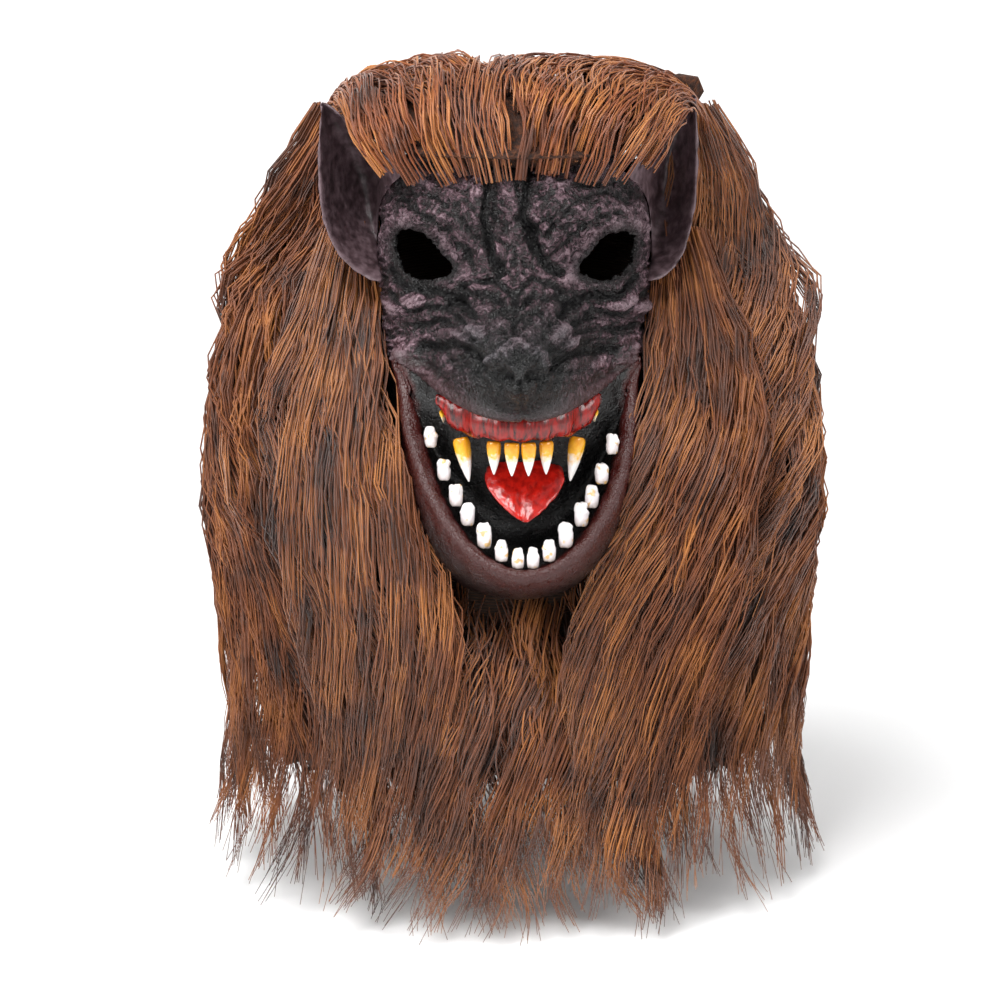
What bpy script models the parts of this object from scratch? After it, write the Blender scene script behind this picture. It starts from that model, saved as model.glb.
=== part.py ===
# Werewolf mask: a moulded vinyl wolf face on a cloth hood with long fur.
# Metres, +Z up. The face looks along -Y and +X is on the right in front view.
# The origin is the inside top of the hood, where the mask sits on a head.
import math

import bmesh
import bpy
import numpy as np
from mathutils import Vector
from mathutils.bvhtree import BVHTree

# Head form that the hood fits, and the hood
HEAD_HALF_WIDTH = 0.080
HEAD_HALF_DEPTH = 0.100
CROWN_RISE = 0.080
HEAD_SQUARENESS = 2.3
HOOD_WALL = 0.002
HOOD_DROP = 0.320
NECK_START = 0.150
NECK_END = 0.260
NECK_SIDE_INSET = 0.006
NECK_FRONT_INSET = 0.014

# Gaps between pieces
FLAT_GAP = 0.0003
CURVED_GAP = 0.0008
FUR_GAP = 0.0012

# Vinyl face, with heights measured from the eye line
VINYL_WALL = 0.002
EYE_DROP = 0.084
FACE_TOP = 0.064
FACE_LAP = 0.010
CHEEK_RIM_ANGLE = 80.0
EAR_RIM_ANGLE = 100.0
EAR_RIM_UP = 0.020
EAR_RIM_TALL = 0.045
FOREHEAD_RIM_ANGLE = 84.0
MUZZLE_DROP = 0.088
MUZZLE_REACH = 0.074
MUZZLE_ROUNDNESS = 1.25
MOUTH_HALF_WIDTH = 0.072
MOUTH_CORNER_DROP = 0.062
LIP_RISE_POWER = 2.2
LOWER_LIP_HALF_WIDTH = 0.070
LOWER_LIP_START = 0.070
LOWER_LIP_DROP = 0.177
LOWER_LIP_REACH = 0.148
LOWER_LIP_SQUARENESS = 1.9
LIP_ROLL = 0.005
CHIN_RIM_DROP = 0.205
JAW_RIM_DROP = 0.080
JAW_FULLNESS = 0.78
LIP_CLOSE_START = 0.88
CHIN_SHIFT = 0.006
EYE_ACROSS = 0.054
EYE_HALF_WIDTH = 0.020
EYE_HALF_HEIGHT = 0.017
EYE_UP = 0.002
BROW_RISE = 0.028
BROW_LIFT = 0.010
NOSE_DROP = 0.058
NOSE_HALF_WIDTH = 0.016
NOSE_HALF_HEIGHT = 0.019
NOSE_LIFT = 0.017
FORM_FADE_START = 0.78
FORM_FADE_END = 0.96

# Ears
EAR_WALL = 0.0025
EAR_TIP_ACROSS = 0.117
EAR_TIP_RISE = 0.090
EAR_TIP_REACH = 0.040
EAR_LOW_ANGLE = 66.0
EAR_LOW_RISE = -0.018
EAR_HIGH_ANGLE = 58.0
EAR_HIGH_RISE = 0.047
EAR_DEEP_ANGLE = 86.0
EAR_DEEP_RISE = 0.016
RIGHT_EAR_TURN = 0.6
RIGHT_EAR_LIFT = 0.004

# Mouth pieces
GUM_SETBACK = 0.017
GUM_DEPTH = 0.009
GUM_BOTTOM_DROP = 0.102
GUM_HALF_WIDTH = 0.050
GUM_END_RISE = 0.016
CANINE_ACROSS = 0.038
CANINE_LENGTH = 0.027
CANINE_RADIUS = 0.0060
CANINE_SPLAY = 14.0
INCISOR_PITCH = 0.012
INCISOR_LENGTH = 0.020
INCISOR_RADIUS = 0.0050
SIDE_TOOTH_LENGTH = 0.009
SIDE_TOOTH_DEPTH = 0.006
SIDE_TOOTH_COUNT = 3
LOWER_TOOTH_LENGTH = 0.014
TONGUE_HALF_WIDTH = 0.025
TONGUE_THICKNESS = 0.009
TONGUE_ROOT_DROP = 0.122
TONGUE_TIP_DROP = 0.150
TONGUE_TIP_REACH = 0.140

# Fur
HAIR_RISE = 0.029
HAIR_DROP = 0.482
HAIR_HALF_WIDTH = 0.194
HAIR_BACK_DEPTH = 0.160
HAIR_FRONT_REACH = 0.185
CROWN_HALF_WIDTH = 0.122
CROWN_FRONT_REACH = 0.108
CROWN_BACK_DEPTH = 0.128
CROWN_MIDDLE = 0.048
CROWN_SQUARENESS = 3.2
LOCK_RELIEF = 0.006
LOCK_NOTCH = 0.045
LOCK_SWAY = 2.2
LOCK_WAVE = 0.110
TIP_THICKNESS = 0.004
FUR_FLARE = 0.020
SIDE_LOCKS = 12
BACK_LOCKS = 9
NECK_LOCKS = 9
BACK_SEAM_ANGLE = 140.0
SEAM_ANGLE = 0.8
NECK_FUR_TOP = 0.297

# Muzzle along its ridge: level is a share of MUZZLE_DROP below the eye line,
# reach a share of MUZZLE_REACH, half_width a share of MOUTH_HALF_WIDTH
MUZZLE_COLUMNS = ("level", "reach", "half_width")
MUZZLE = (
    (-0.40, 0.00, 0.28),
    (0.00, 0.05, 0.37),
    (0.17, 0.19, 0.45),
    (0.29, 0.42, 0.53),
    (0.40, 0.61, 0.61),
    (0.52, 0.72, 0.69),
    (0.68, 0.77, 0.78),
    (0.86, 0.73, 0.84),
    (1.00, 0.69, 0.87),
)

# Soft forms on the face: across and wide are shares of EYE_ACROSS,
# up and tall shares of BROW_RISE, lift a share of BROW_LIFT
FORM_COLUMNS = ("across", "up", "wide", "tall", "lift")
FACE_FORMS = {
    "inner_brow": (0.56, 1.00, 0.37, 0.55, 1.0),
    "outer_brow": (1.15, 0.90, 0.33, 0.36, 0.8),
    "eye_socket": (0.98, 0.05, 0.48, 0.72, -1.4),
    "cheekbone": (1.20, -0.86, 0.33, 0.50, 0.6),
    "brow_furrow": (0.20, 0.95, 0.09, 0.75, -0.5),
    "mouth_corner": (1.28, -2.20, 0.22, 0.42, 0.5),
    "forehead": (0.00, 1.75, 1.10, 0.50, 0.5),
}

# Eye hole outline on the +X side from the inner corner: across and up are
# shares of EYE_HALF_WIDTH and EYE_HALF_HEIGHT
EYE_OUTLINE = (
    (-1.00, -0.45),
    (-0.62, 0.00),
    (-0.28, 0.55),
    (0.08, 0.86),
    (0.62, 0.96),
    (1.00, 0.45),
    (0.92, -0.45),
    (0.35, -0.92),
    (-0.35, -0.88),
)

# Mouth hollow from the upper lip round to the lower lip: lower is 0 at the
# upper lip and 1 at the lower, across a share of the lip's sideways place,
# rise a share of LIP_ROLL, depth runs from 0 at the lip to 1 at the back wall
MOUTH_COLUMNS = ("lower", "across", "rise", "depth")
MOUTH_PATH = (
    (0, 0.98, 0.6, 0.14),
    (0, 0.96, 0.6, 0.55),
    (0, 0.92, -1.0, 0.96),
    (0.5, 0.88, 0.0, 1.00),
    (1, 0.86, 2.4, 0.96),
    (1, 0.88, 0.6, 0.52),
    (1, 0.92, -0.6, 0.20),
)

# Ear from base to tip: along is the share of the way, out and up are shares of
# the sideways and upward way of the outer and the upper edge, cup is the depth
# of the hollow between them as a share of EAR_TIP_ACROSS
EAR_COLUMNS = ("along", "outer_out", "outer_up", "upper_out", "upper_up", "cup")
EAR = (
    (0.00, 0.00, 0.00, 0.00, 0.00, 0.00),
    (0.14, 0.36, 0.04, 0.13, 0.13, 0.13),
    (0.28, 0.66, 0.12, 0.27, 0.28, 0.20),
    (0.44, 0.90, 0.26, 0.44, 0.46, 0.20),
    (0.60, 1.01, 0.42, 0.61, 0.64, 0.16),
    (0.76, 1.04, 0.62, 0.78, 0.81, 0.10),
    (0.90, 1.02, 0.84, 0.92, 0.94, 0.05),
    (1.00, 0.98, 0.99, 0.98, 1.01, 0.00),
)

# Lower teeth on one side: across is a share of MOUTH_HALF_WIDTH, reach of
# LOWER_LIP_REACH, level of LOWER_LIP_DROP (just above the root, which then
# sinks to its seat), the tooth's own sizes are shares of LOWER_TOOTH_LENGTH
LOWER_TEETH_COLUMNS = ("across", "reach", "level", "width", "depth", "length")
LOWER_TEETH = {
    "front": (0.062, 0.945, 0.955, 0.58, 0.46, 0.90),
    "second": (0.195, 0.932, 0.950, 0.62, 0.50, 0.95),
    "third": (0.335, 0.885, 0.910, 0.70, 0.56, 1.10),
    "fourth": (0.470, 0.820, 0.830, 0.66, 0.60, 1.00),
    "fifth": (0.562, 0.775, 0.774, 0.66, 0.58, 0.95),
    "sixth": (0.655, 0.725, 0.695, 0.70, 0.54, 0.92),
    "seventh": (0.755, 0.670, 0.600, 0.72, 0.50, 0.90),
}

# Tongue sections from root to tip: half width is a share of
# TONGUE_HALF_WIDTH, thickness a share of TONGUE_THICKNESS
TONGUE_COLUMNS = ("along", "half_width", "thickness")
TONGUE = (
    (0.00, 0.90, 0.90),
    (0.20, 1.00, 1.00),
    (0.45, 0.96, 0.95),
    (0.65, 0.76, 0.85),
    (0.85, 0.44, 0.65),
    (1.00, 0.12, 0.35),
)

# Lower edge of the crown fur: degrees round from the face, and the drop below
# the crown as a share of EYE_DROP
CROWN_EDGE_COLUMNS = ("angle", "drop")
CROWN_EDGE = (
    (0.0, 0.40),
    (30.0, 0.39),
    (44.0, 0.32),
    (58.0, 0.04),
    (71.0, -0.19),
    (84.0, -0.12),
    (97.0, 0.14),
    (125.0, 0.38),
    (180.0, 0.55),
)

# Outer form of the hanging fur: level is a share of HAIR_DROP below the
# crown, side, back and front are shares of the fur's half width, back depth
# and front reach, front_in and front_out are degrees round from the face to
# the front edge of the side fur, at the head and at the outer form
MANE_COLUMNS = ("level", "side", "back", "front", "front_in", "front_out")
MANE = (
    (0.000, 0.61, 0.79, 0.60, 101.0, 99.0),
    (0.090, 0.74, 0.88, 0.60, 101.0, 97.0),
    (0.190, 0.85, 0.95, 0.60, 98.0, 96.0),
    (0.250, 0.91, 0.98, 0.60, 82.0, 89.0),
    (0.330, 0.95, 1.00, 0.60, 72.0, 83.0),
    (0.430, 0.98, 1.00, 0.60, 68.0, 77.0),
    (0.530, 1.00, 1.00, 0.62, 60.0, 66.0),
    (0.620, 0.96, 1.00, 0.62, 38.0, 40.0),
    (0.730, 0.94, 0.99, 0.65, 32.0, 36.0),
    (0.850, 0.93, 0.98, 0.72, 30.0, 36.0),
    (0.930, 0.96, 1.00, 0.82, 30.0, 36.0),
    (1.000, 1.02, 1.04, 1.00, 30.0, 36.0),
)
NECK_FUR_LEVEL = 0.620

# Tooth outlines: height and girth as shares of the tooth's own sizes
FANG_PROFILE = ((0.0, 0.92), (0.18, 1.0), (0.45, 0.84), (0.75, 0.50), (0.94, 0.20), (1.0, 0.07))
PEG_PROFILE = ((0.0, 0.86), (0.35, 1.0), (0.80, 0.96), (1.0, 0.60))

# Mesh steps
LIP_STEPS = 22
SIDE_STEPS = 4
FACE_ROWS = 14
JAW_ROWS = 5
HOOD_STEPS = 32
EAR_STEPS = 9
GUM_STEPS = 21
TOOTH_SIDES = 8
TONGUE_SIDES = 12
CROWN_STEPS = 40
CROWN_ROWS = 8


def clear_scene():
    for item in list(bpy.data.objects):
        bpy.data.objects.remove(item, do_unlink=True)


def make_material(name, colour, roughness):
    made = bpy.data.materials.new(name)
    made.use_nodes = True
    shader = made.node_tree.nodes["Principled BSDF"]
    shader.inputs["Base Color"].default_value = (*colour, 1.0)
    shader.inputs["Roughness"].default_value = roughness
    return made


def table_value(table, columns, key, name, at):
    keys = [row[columns.index(key)] for row in table]
    values = [row[columns.index(name)] for row in table]
    return np.interp(at, keys, values)


def signed_power(value, power):
    return np.sign(value) * np.abs(value) ** power


def smooth_step(start, end, value):
    share = np.clip((value - start) / (end - start), 0.0, 1.0)
    return share * share * (3.0 - 2.0 * share)


# Half width and half depth of the head form, grown by an offset, at height z
def head_section(z, offset):
    rise = CROWN_RISE + offset
    lift = np.clip((np.asarray(z, float) + CROWN_RISE) / rise, 0.0, 1.0)
    dome = (1.0 - lift**HEAD_SQUARENESS) ** (1.0 / HEAD_SQUARENESS)
    neck = smooth_step(NECK_START, NECK_END, -np.asarray(z, float))
    width = (HEAD_HALF_WIDTH + offset - NECK_SIDE_INSET * neck) * dome
    front = (HEAD_HALF_DEPTH + offset - NECK_FRONT_INSET * neck) * dome
    return width, front


# Point on the grown head form, with its angle measured round from the face
def head_point(angle, z, offset):
    width, depth = head_section(z, offset)
    turn = np.radians(angle)
    power = 2.0 / HEAD_SQUARENESS
    x = width * signed_power(np.sin(turn), power)
    y = -depth * signed_power(np.cos(turn), power)
    return x, y


FACE_OFFSET = HOOD_WALL + CURVED_GAP + VINYL_WALL


# How far the features lean sideways at a height below the eye line
def face_lean(v):
    return CHIN_SHIFT * smooth_step(0.0, LOWER_LIP_DROP, -v)


# Forward lift of the muzzle, nose and soft forms over the head form
def face_lift(x, v, angle):
    across = x - face_lean(v)
    level = -v / MUZZLE_DROP
    reach = MUZZLE_REACH * table_value(MUZZLE, MUZZLE_COLUMNS, "level", "reach", level)
    half = MOUTH_HALF_WIDTH * table_value(MUZZLE, MUZZLE_COLUMNS, "level", "half_width", level)
    share = np.clip(1.0 - (across / half) ** 2, 0.0, 1.0)
    lift = reach * share**MUZZLE_ROUNDNESS
    nose = (across / NOSE_HALF_WIDTH) ** 2 + ((v + NOSE_DROP) / NOSE_HALF_HEIGHT) ** 2
    lift = lift + NOSE_LIFT * np.exp(-nose**1.5)
    for row in FACE_FORMS.values():
        form = dict(zip(FORM_COLUMNS, row))
        wide = (np.abs(across) - form["across"] * EYE_ACROSS) / (form["wide"] * EYE_ACROSS)
        tall = (v - form["up"] * BROW_RISE) / (form["tall"] * BROW_RISE)
        lift = lift + form["lift"] * BROW_LIFT * np.exp(-(wide**2) - tall**2)
    edge = 1.0 - smooth_step(FORM_FADE_START, FORM_FADE_END, v / FACE_TOP)
    side = 1.0 - smooth_step(FORM_FADE_START, FORM_FADE_END, np.abs(angle) / CHEEK_RIM_ANGLE)
    return lift * edge * side


def face_point(angle, v):
    z = v - EYE_DROP
    x, y = head_point(angle, z, FACE_OFFSET)
    return np.stack([x, y - face_lift(x, v, angle), np.broadcast_to(z, np.shape(x))], axis=-1)


# Angle round the head form at which it has the sideways place x
def angle_at(x, v):
    width = head_section(v - EYE_DROP, FACE_OFFSET)[0]
    ratio = np.clip(x / width, -1.0, 1.0)
    return np.degrees(np.arcsin(signed_power(ratio, HEAD_SQUARENESS / 2.0)))


def rim_angle(v):
    ear_level = np.exp(-(((v - EAR_RIM_UP) / EAR_RIM_TALL) ** 4))
    return CHEEK_RIM_ANGLE + (EAR_RIM_ANGLE - CHEEK_RIM_ANGLE) * ear_level


# Upper lip from corner to corner, share from -1 to 1: sideways place and height
def upper_lip(share):
    v = -MUZZLE_DROP + (MUZZLE_DROP - MOUTH_CORNER_DROP) * np.abs(share) ** LIP_RISE_POWER
    return MOUTH_HALF_WIDTH * share + face_lean(v), v


# Lower lip point in space, share from -1 to 1, its ends at the mouth corners
def lower_lip(share):
    turn = share * math.pi / 2.0
    power = 2.0 / LOWER_LIP_SQUARENESS
    drop = LOWER_LIP_DROP - LOWER_LIP_START
    v = -LOWER_LIP_START - drop * np.abs(np.cos(turn)) ** power
    x = LOWER_LIP_HALF_WIDTH * signed_power(np.sin(turn), power) + face_lean(v)
    corner_x, corner_v = upper_lip(np.sign(share) * np.ones_like(v))
    corner = face_point(angle_at(corner_x, corner_v), corner_v)
    reach = -corner[..., 1]
    fall = (corner_v - v) / (LOWER_LIP_DROP - MOUTH_CORNER_DROP)
    point = np.stack([x, -(reach + (LOWER_LIP_REACH - reach) * fall), v - EYE_DROP], axis=-1)
    close = smooth_step(LIP_CLOSE_START, 1.0, np.abs(share))[..., None]
    return point * (1.0 - close) + corner * close


# Sideways steps: the lip's own shares, then the cheeks out to the rim
def face_columns():
    lip = np.sin(np.linspace(-1.0, 1.0, LIP_STEPS + 1) * math.pi / 2.0)
    lip = 0.5 * lip + 0.5 * np.linspace(-1.0, 1.0, LIP_STEPS + 1)
    side = np.linspace(0.0, 1.0, SIDE_STEPS + 1)[1:]
    return lip, side


# Rows of the upper face, from the lip and cheek line up to the forehead rim
def upper_rows(lip, side, rows):
    lip_x, lip_v = upper_lip(lip)
    lip_angle = angle_at(lip_x, lip_v)
    line_v = -MOUTH_CORNER_DROP - 0.25 * LIP_ROLL * side
    left = lip_angle[0] + (-rim_angle(line_v) - lip_angle[0]) * side
    right = lip_angle[-1] + (rim_angle(line_v) - lip_angle[-1]) * side
    low_angle = np.concatenate([left[::-1], lip_angle, right])
    low_v = np.concatenate([line_v[::-1], lip_v, line_v])
    spread = np.linspace(-1.0, 1.0, len(low_angle))
    high_angle = FOREHEAD_RIM_ANGLE * spread
    high_v = FACE_TOP - 0.12 * FACE_TOP * spread**2
    grid = []
    for share in np.linspace(0.0, 1.0, rows + 1):
        v = low_v + (high_v - low_v) * share
        straight = low_angle + (high_angle - low_angle) * share
        widen = rim_angle(v) / CHEEK_RIM_ANGLE
        ends = 1.0 + (widen - 1.0) * np.abs(spread) ** 3
        grid.append(face_point(straight * ends, v))
    return grid


# Rim of the jaw from side to side, on the head form
def jaw_rim(columns):
    v = -CHIN_RIM_DROP + (CHIN_RIM_DROP - JAW_RIM_DROP) * np.abs(columns) ** LIP_RISE_POWER
    x, y = head_point(CHEEK_RIM_ANGLE * columns, v - EYE_DROP, FACE_OFFSET)
    return np.stack([x, y, v - EYE_DROP], axis=-1)


# Rows of the jaw, from the lower lip and cheek line down to the rim
def jaw_rows(lip, side, cheek_row, rows):
    top = np.concatenate([cheek_row[: len(side)], lower_lip(lip), cheek_row[-len(side):]])
    count = len(top)
    rim = jaw_rim(np.linspace(-1.0, 1.0, count))
    middle = top.copy()
    inside = slice(len(side), count - len(side))
    middle[:, 2] = top[:, 2] + JAW_FULLNESS * (rim[:, 2] - top[:, 2])
    roll = 1.6 * LIP_ROLL * np.sin(np.linspace(-1.0, 1.0, count) * math.pi / 2.0)
    middle[inside, 0] += roll[inside]
    weight = np.zeros(count)
    weight[inside] = 1.0
    weight = np.convolve(np.pad(weight, 1, mode="edge"), [0.25, 0.5, 0.25], mode="valid")
    plain = 0.5 * (top + rim)
    middle = plain + (middle - plain) * weight[:, None]
    grid = []
    for share in np.linspace(0.0, 1.0, rows + 1):
        low = 1.0 - share
        grid.append(low * low * top + 2.0 * low * share * middle + share * share * rim)
    return grid


# Rows of the mouth hollow, between the upper and the lower lip
def mouth_rows(lip, lip_row):
    upper = lip_row
    lower = lower_lip(lip)
    gape = np.clip((upper[:, 2] - lower[:, 2]) / (8.0 * LIP_ROLL), 0.0, 1.0)[:, None]
    top_z = upper[:, 2].max()
    grid = [upper]
    for row in MOUTH_PATH:
        step = dict(zip(MOUTH_COLUMNS, row))
        lip_edge = upper + (lower - upper) * step["lower"]
        place = lip_edge.copy()
        place[:, 0] = lip_edge[:, 0] * (1.0 + (step["across"] - 1.0) * gape[:, 0])
        angle = angle_at(place[:, 0], place[:, 2] + EYE_DROP)
        back = head_point(angle, place[:, 2], FACE_OFFSET)[1]
        room = np.clip((back - lip_edge[:, 1]) / (8.0 * LIP_ROLL), 0.0, 1.0)
        central = np.clip((top_z - lip_edge[:, 2]) / (top_z - lower[:, 2].min()), 0.0, 1.0)
        central = 1.0 + (central - 1.0) * (step["lower"] == 1)
        place[:, 2] += step["rise"] * LIP_ROLL * gape[:, 0] * room * central
        depth = step["depth"] * gape[:, 0]
        place[:, 1] += (back - place[:, 1]) * depth
        grid.append(place)
    grid.append(lower)
    return grid


def mesh_object(name, points, faces, material, smooth=True):
    mesh = bpy.data.meshes.new(name)
    mesh.from_pydata([tuple(map(float, p)) for p in points], [], faces)
    work = bmesh.new()
    work.from_mesh(mesh)
    bmesh.ops.remove_doubles(work, verts=work.verts, dist=1e-6)
    bmesh.ops.dissolve_degenerate(work, edges=work.edges, dist=1e-7)
    bmesh.ops.recalc_face_normals(work, faces=work.faces)
    work.to_mesh(mesh)
    work.free()
    if smooth:
        mesh.shade_smooth()
        mesh.set_sharp_from_angle(angle=math.radians(45))
    made = bpy.data.objects.new(name, mesh)
    bpy.context.collection.objects.link(made)
    mesh.materials.append(material)
    return made


# Quads between rows of equal length, listed as indices from a start
def grid_faces(rows, columns, start=0, wrap=False, flip=False):
    faces = []
    last = columns if wrap else columns - 1
    for j in range(rows - 1):
        for i in range(last):
            a = start + j * columns + i
            b = start + j * columns + (i + 1) % columns
            face = (a, b, b + columns, a + columns)
            faces.append(face[::-1] if flip else face)
    return faces


# Strip of quads between two equal lists of indices
def bridge_faces(first, second, wrap=False):
    count = len(first)
    last = count if wrap else count - 1
    faces = []
    for i in range(last):
        k = (i + 1) % count
        faces.append((first[i], first[k], second[k], second[i]))
    return faces


def eye_cutter(side):
    ring = []
    for across, up in EYE_OUTLINE:
        x = side * (EYE_ACROSS + across * EYE_HALF_WIDTH)
        ring.append((x, up * EYE_HALF_HEIGHT + EYE_UP - EYE_DROP))
    count = len(ring)
    near = HEAD_HALF_DEPTH * 0.1
    far = HEAD_HALF_DEPTH * 1.6
    points = [(x, -near, z) for x, z in ring] + [(x, -far, z) for x, z in ring]
    faces = [tuple(range(count)), tuple(range(2 * count - 1, count - 1, -1))]
    faces += bridge_faces(list(range(count)), list(range(count, 2 * count)), wrap=True)
    return points, faces


def hide_cutter(cutter):
    cutter.hide_render = True
    cutter.display_type = "WIRE"


def cut_with(target, cutter):
    cut = target.modifiers.new("cut_" + cutter.name, "BOOLEAN")
    cut.operation = "DIFFERENCE"
    cut.solver = "EXACT"
    cut.object = cutter


def build_face(material):
    lip, side = face_columns()
    upper = upper_rows(lip, side, FACE_ROWS)
    lip_part = upper[0][len(side):-len(side)]
    jaw = jaw_rows(lip, side, upper[0], JAW_ROWS)
    mouth = mouth_rows(lip, lip_part)
    points = []
    faces = []
    for grid in (upper, jaw, mouth):
        start = len(points)
        columns = len(grid[0])
        faces += grid_faces(len(grid), columns, start, flip=grid is not upper)
        for row in grid:
            points.extend(row)
    shell = mesh_object("face_shell", points, faces, material)
    wall = shell.modifiers.new("wall", "SOLIDIFY")
    wall.thickness = VINYL_WALL
    wall.offset = -1.0
    for name, way in (("eye_cutter_left", -1.0), ("eye_cutter_right", 1.0)):
        cutter = mesh_object(name, *eye_cutter(way), material, smooth=False)
        hide_cutter(cutter)
        cut_with(shell, cutter)
    return shell


# Closed dome with two walls, open below: rows run from the apex to the edge
def dome_mesh(outer, inner):
    columns = len(outer[0])
    points = [outer[0][0]]
    faces = []
    for i in range(columns):
        faces.append((0, 1 + i, 1 + (i + 1) % columns))
    for row in outer[1:]:
        points.extend(row)
    faces += grid_faces(len(outer) - 1, columns, 1, wrap=True, flip=True)
    apex = len(points)
    points.append(inner[0][0])
    for i in range(columns):
        faces.append((apex, apex + 1 + (i + 1) % columns, apex + 1 + i))
    for row in inner[1:]:
        points.extend(row)
    faces += grid_faces(len(inner) - 1, columns, apex + 1, wrap=True)
    outer_edge = [apex - columns + i for i in range(columns)]
    inner_edge = [len(points) - columns + i for i in range(columns)]
    faces += bridge_faces(outer_edge, inner_edge, wrap=True)
    return points, faces


# Rows of the hood from its apex to the hem, grown by an offset
def hood_rows(offset):
    turn = np.linspace(math.pi / 2.0, 0.0, 6)
    levels = (CROWN_RISE + offset) * np.sin(turn) - CROWN_RISE
    below = -np.linspace(CROWN_RISE, HOOD_DROP, 8)[1:]
    angles = np.linspace(0.0, 360.0, HOOD_STEPS, endpoint=False)
    rows = []
    for z in [*levels, *below]:
        x, y = head_point(angles, z, offset)
        rows.append(np.stack([x, y, np.full(HOOD_STEPS, z)], axis=-1))
    return rows


# Prism through the hood's front that leaves the lap behind the face's rim
def face_opening():
    share = np.linspace(-1.0, 1.0, 21)
    rim = jaw_rim(share)
    wide = HEAD_HALF_WIDTH + 4.0 * FACE_LAP
    ring = []
    for point, s in zip(rim, share):
        x = point[0] * (1.0 - FACE_LAP / HEAD_HALF_WIDTH)
        z = point[2] + FACE_LAP * (1.0 - abs(s) * 0.2)
        ring.append((x, z))
    ring[0] = (-wide, ring[0][1])
    ring[-1] = (wide, ring[-1][1])
    top = FACE_TOP - EYE_DROP - FACE_LAP
    ring += [(wide, top), (-wide, top)]
    count = len(ring)
    back = head_point(CHEEK_RIM_ANGLE, -EYE_DROP, FACE_OFFSET)[1] - FACE_LAP
    front = -HEAD_HALF_DEPTH * 1.5
    points = [(x, back, z) for x, z in ring] + [(x, front, z) for x, z in ring]
    faces = [tuple(range(count)), tuple(range(2 * count - 1, count - 1, -1))]
    faces += bridge_faces(list(range(count)), list(range(count, 2 * count)), wrap=True)
    return points, faces


def build_hood(material):
    points, faces = dome_mesh(hood_rows(HOOD_WALL), hood_rows(0.0))
    hood = mesh_object("hood", points, faces, material)
    cutter = mesh_object("face_opening_cutter", *face_opening(), material, smooth=False)
    hide_cutter(cutter)
    cut_with(hood, cutter)
    return hood


# Search tree over the evaluated surface of some objects
def surface_tree(*carriers):
    bpy.context.view_layer.update()
    graph = bpy.context.evaluated_depsgraph_get()
    points = []
    polygons = []
    for carrier in carriers:
        solid = carrier.evaluated_get(graph)
        mesh = solid.to_mesh()
        start = len(points)
        points.extend(solid.matrix_world @ v.co for v in mesh.vertices)
        polygons.extend([start + i for i in p.vertices] for p in mesh.polygons)
        solid.to_mesh_clear()
    return BVHTree.FromPolygons(points, polygons)


def ray_distance(tree, start, way):
    hit = tree.ray_cast(Vector(start), Vector(way).normalized())
    return hit[3]


# Moves an object along a way until the first thing it meets is a gap off
def seat(moved, tree, way, gap):
    bpy.context.view_layer.update()
    way = Vector(way).normalized()
    reach = []
    for vertex in moved.data.vertices:
        distance = ray_distance(tree, moved.matrix_world @ vertex.co, way)
        if distance is not None:
            reach.append(distance)
    if reach:
        moved.location = moved.location + way * (min(reach) - gap)


# Radius of the first surface met on the way in towards the head's axis
def skin_radius(tree, angle, z):
    start = 2.0 * HAIR_HALF_WIDTH
    way = Vector(polar_point(angle, -1.0, 0.0))
    hit = tree.ray_cast(Vector(polar_point(angle, start, z)), way)
    return None if hit[0] is None else start - hit[3]


# Ear leaf: rows run from the base to the tip, columns from the outer edge
# round the cup to the upper edge
def ear_rows(side, turn_back, tip_rise):
    low = face_point(np.array([EAR_LOW_ANGLE * side]), np.array([EAR_LOW_RISE]))[0]
    high = face_point(np.array([EAR_HIGH_ANGLE * side]), np.array([EAR_HIGH_RISE]))[0]
    deep = face_point(np.array([EAR_DEEP_ANGLE * side]), np.array([EAR_DEEP_RISE]))[0]
    tip = np.array([side * EAR_TIP_ACROSS, -EAR_TIP_REACH, tip_rise - EYE_DROP])
    rows = []
    for row in EAR:
        step = dict(zip(EAR_COLUMNS, row))
        outer = low + (tip - low) * np.array([step["outer_out"], step["along"], step["outer_up"]])
        upper = high + (tip - high) * np.array([step["upper_out"], step["along"], step["upper_up"]])
        centre = deep + (tip - deep) * step["along"]
        centre[1] += step["cup"] * EAR_TIP_ACROSS
        control = 2.0 * centre - 0.5 * (outer + upper)
        line = []
        for b in np.linspace(0.0, 1.0, EAR_STEPS):
            line.append((1 - b) ** 2 * outer + 2 * b * (1 - b) * control + b * b * upper)
        line = np.array(line)
        swing = turn_back * smooth_step(0.0, 0.5, step["along"])
        out = (line[:, 0] * side - HEAD_HALF_WIDTH).clip(0.0)
        line[:, 0] -= side * out * (1.0 - math.cos(swing))
        line[:, 1] += out * math.sin(swing)
        rows.append(line)
    return np.array(rows)


# Pushes points out from the head's axis until they clear the carriers
def push_clear(points, tree, clearance):
    moved = []
    for point in points:
        angle = math.degrees(math.atan2(point[0], -point[1]))
        radius = math.hypot(point[0], point[1])
        skin = skin_radius(tree, angle, point[2])
        if skin is not None and radius < skin + clearance:
            point = np.array([*(point[:2] * (skin + clearance) / radius), point[2]])
        moved.append(point)
    return moved


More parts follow.
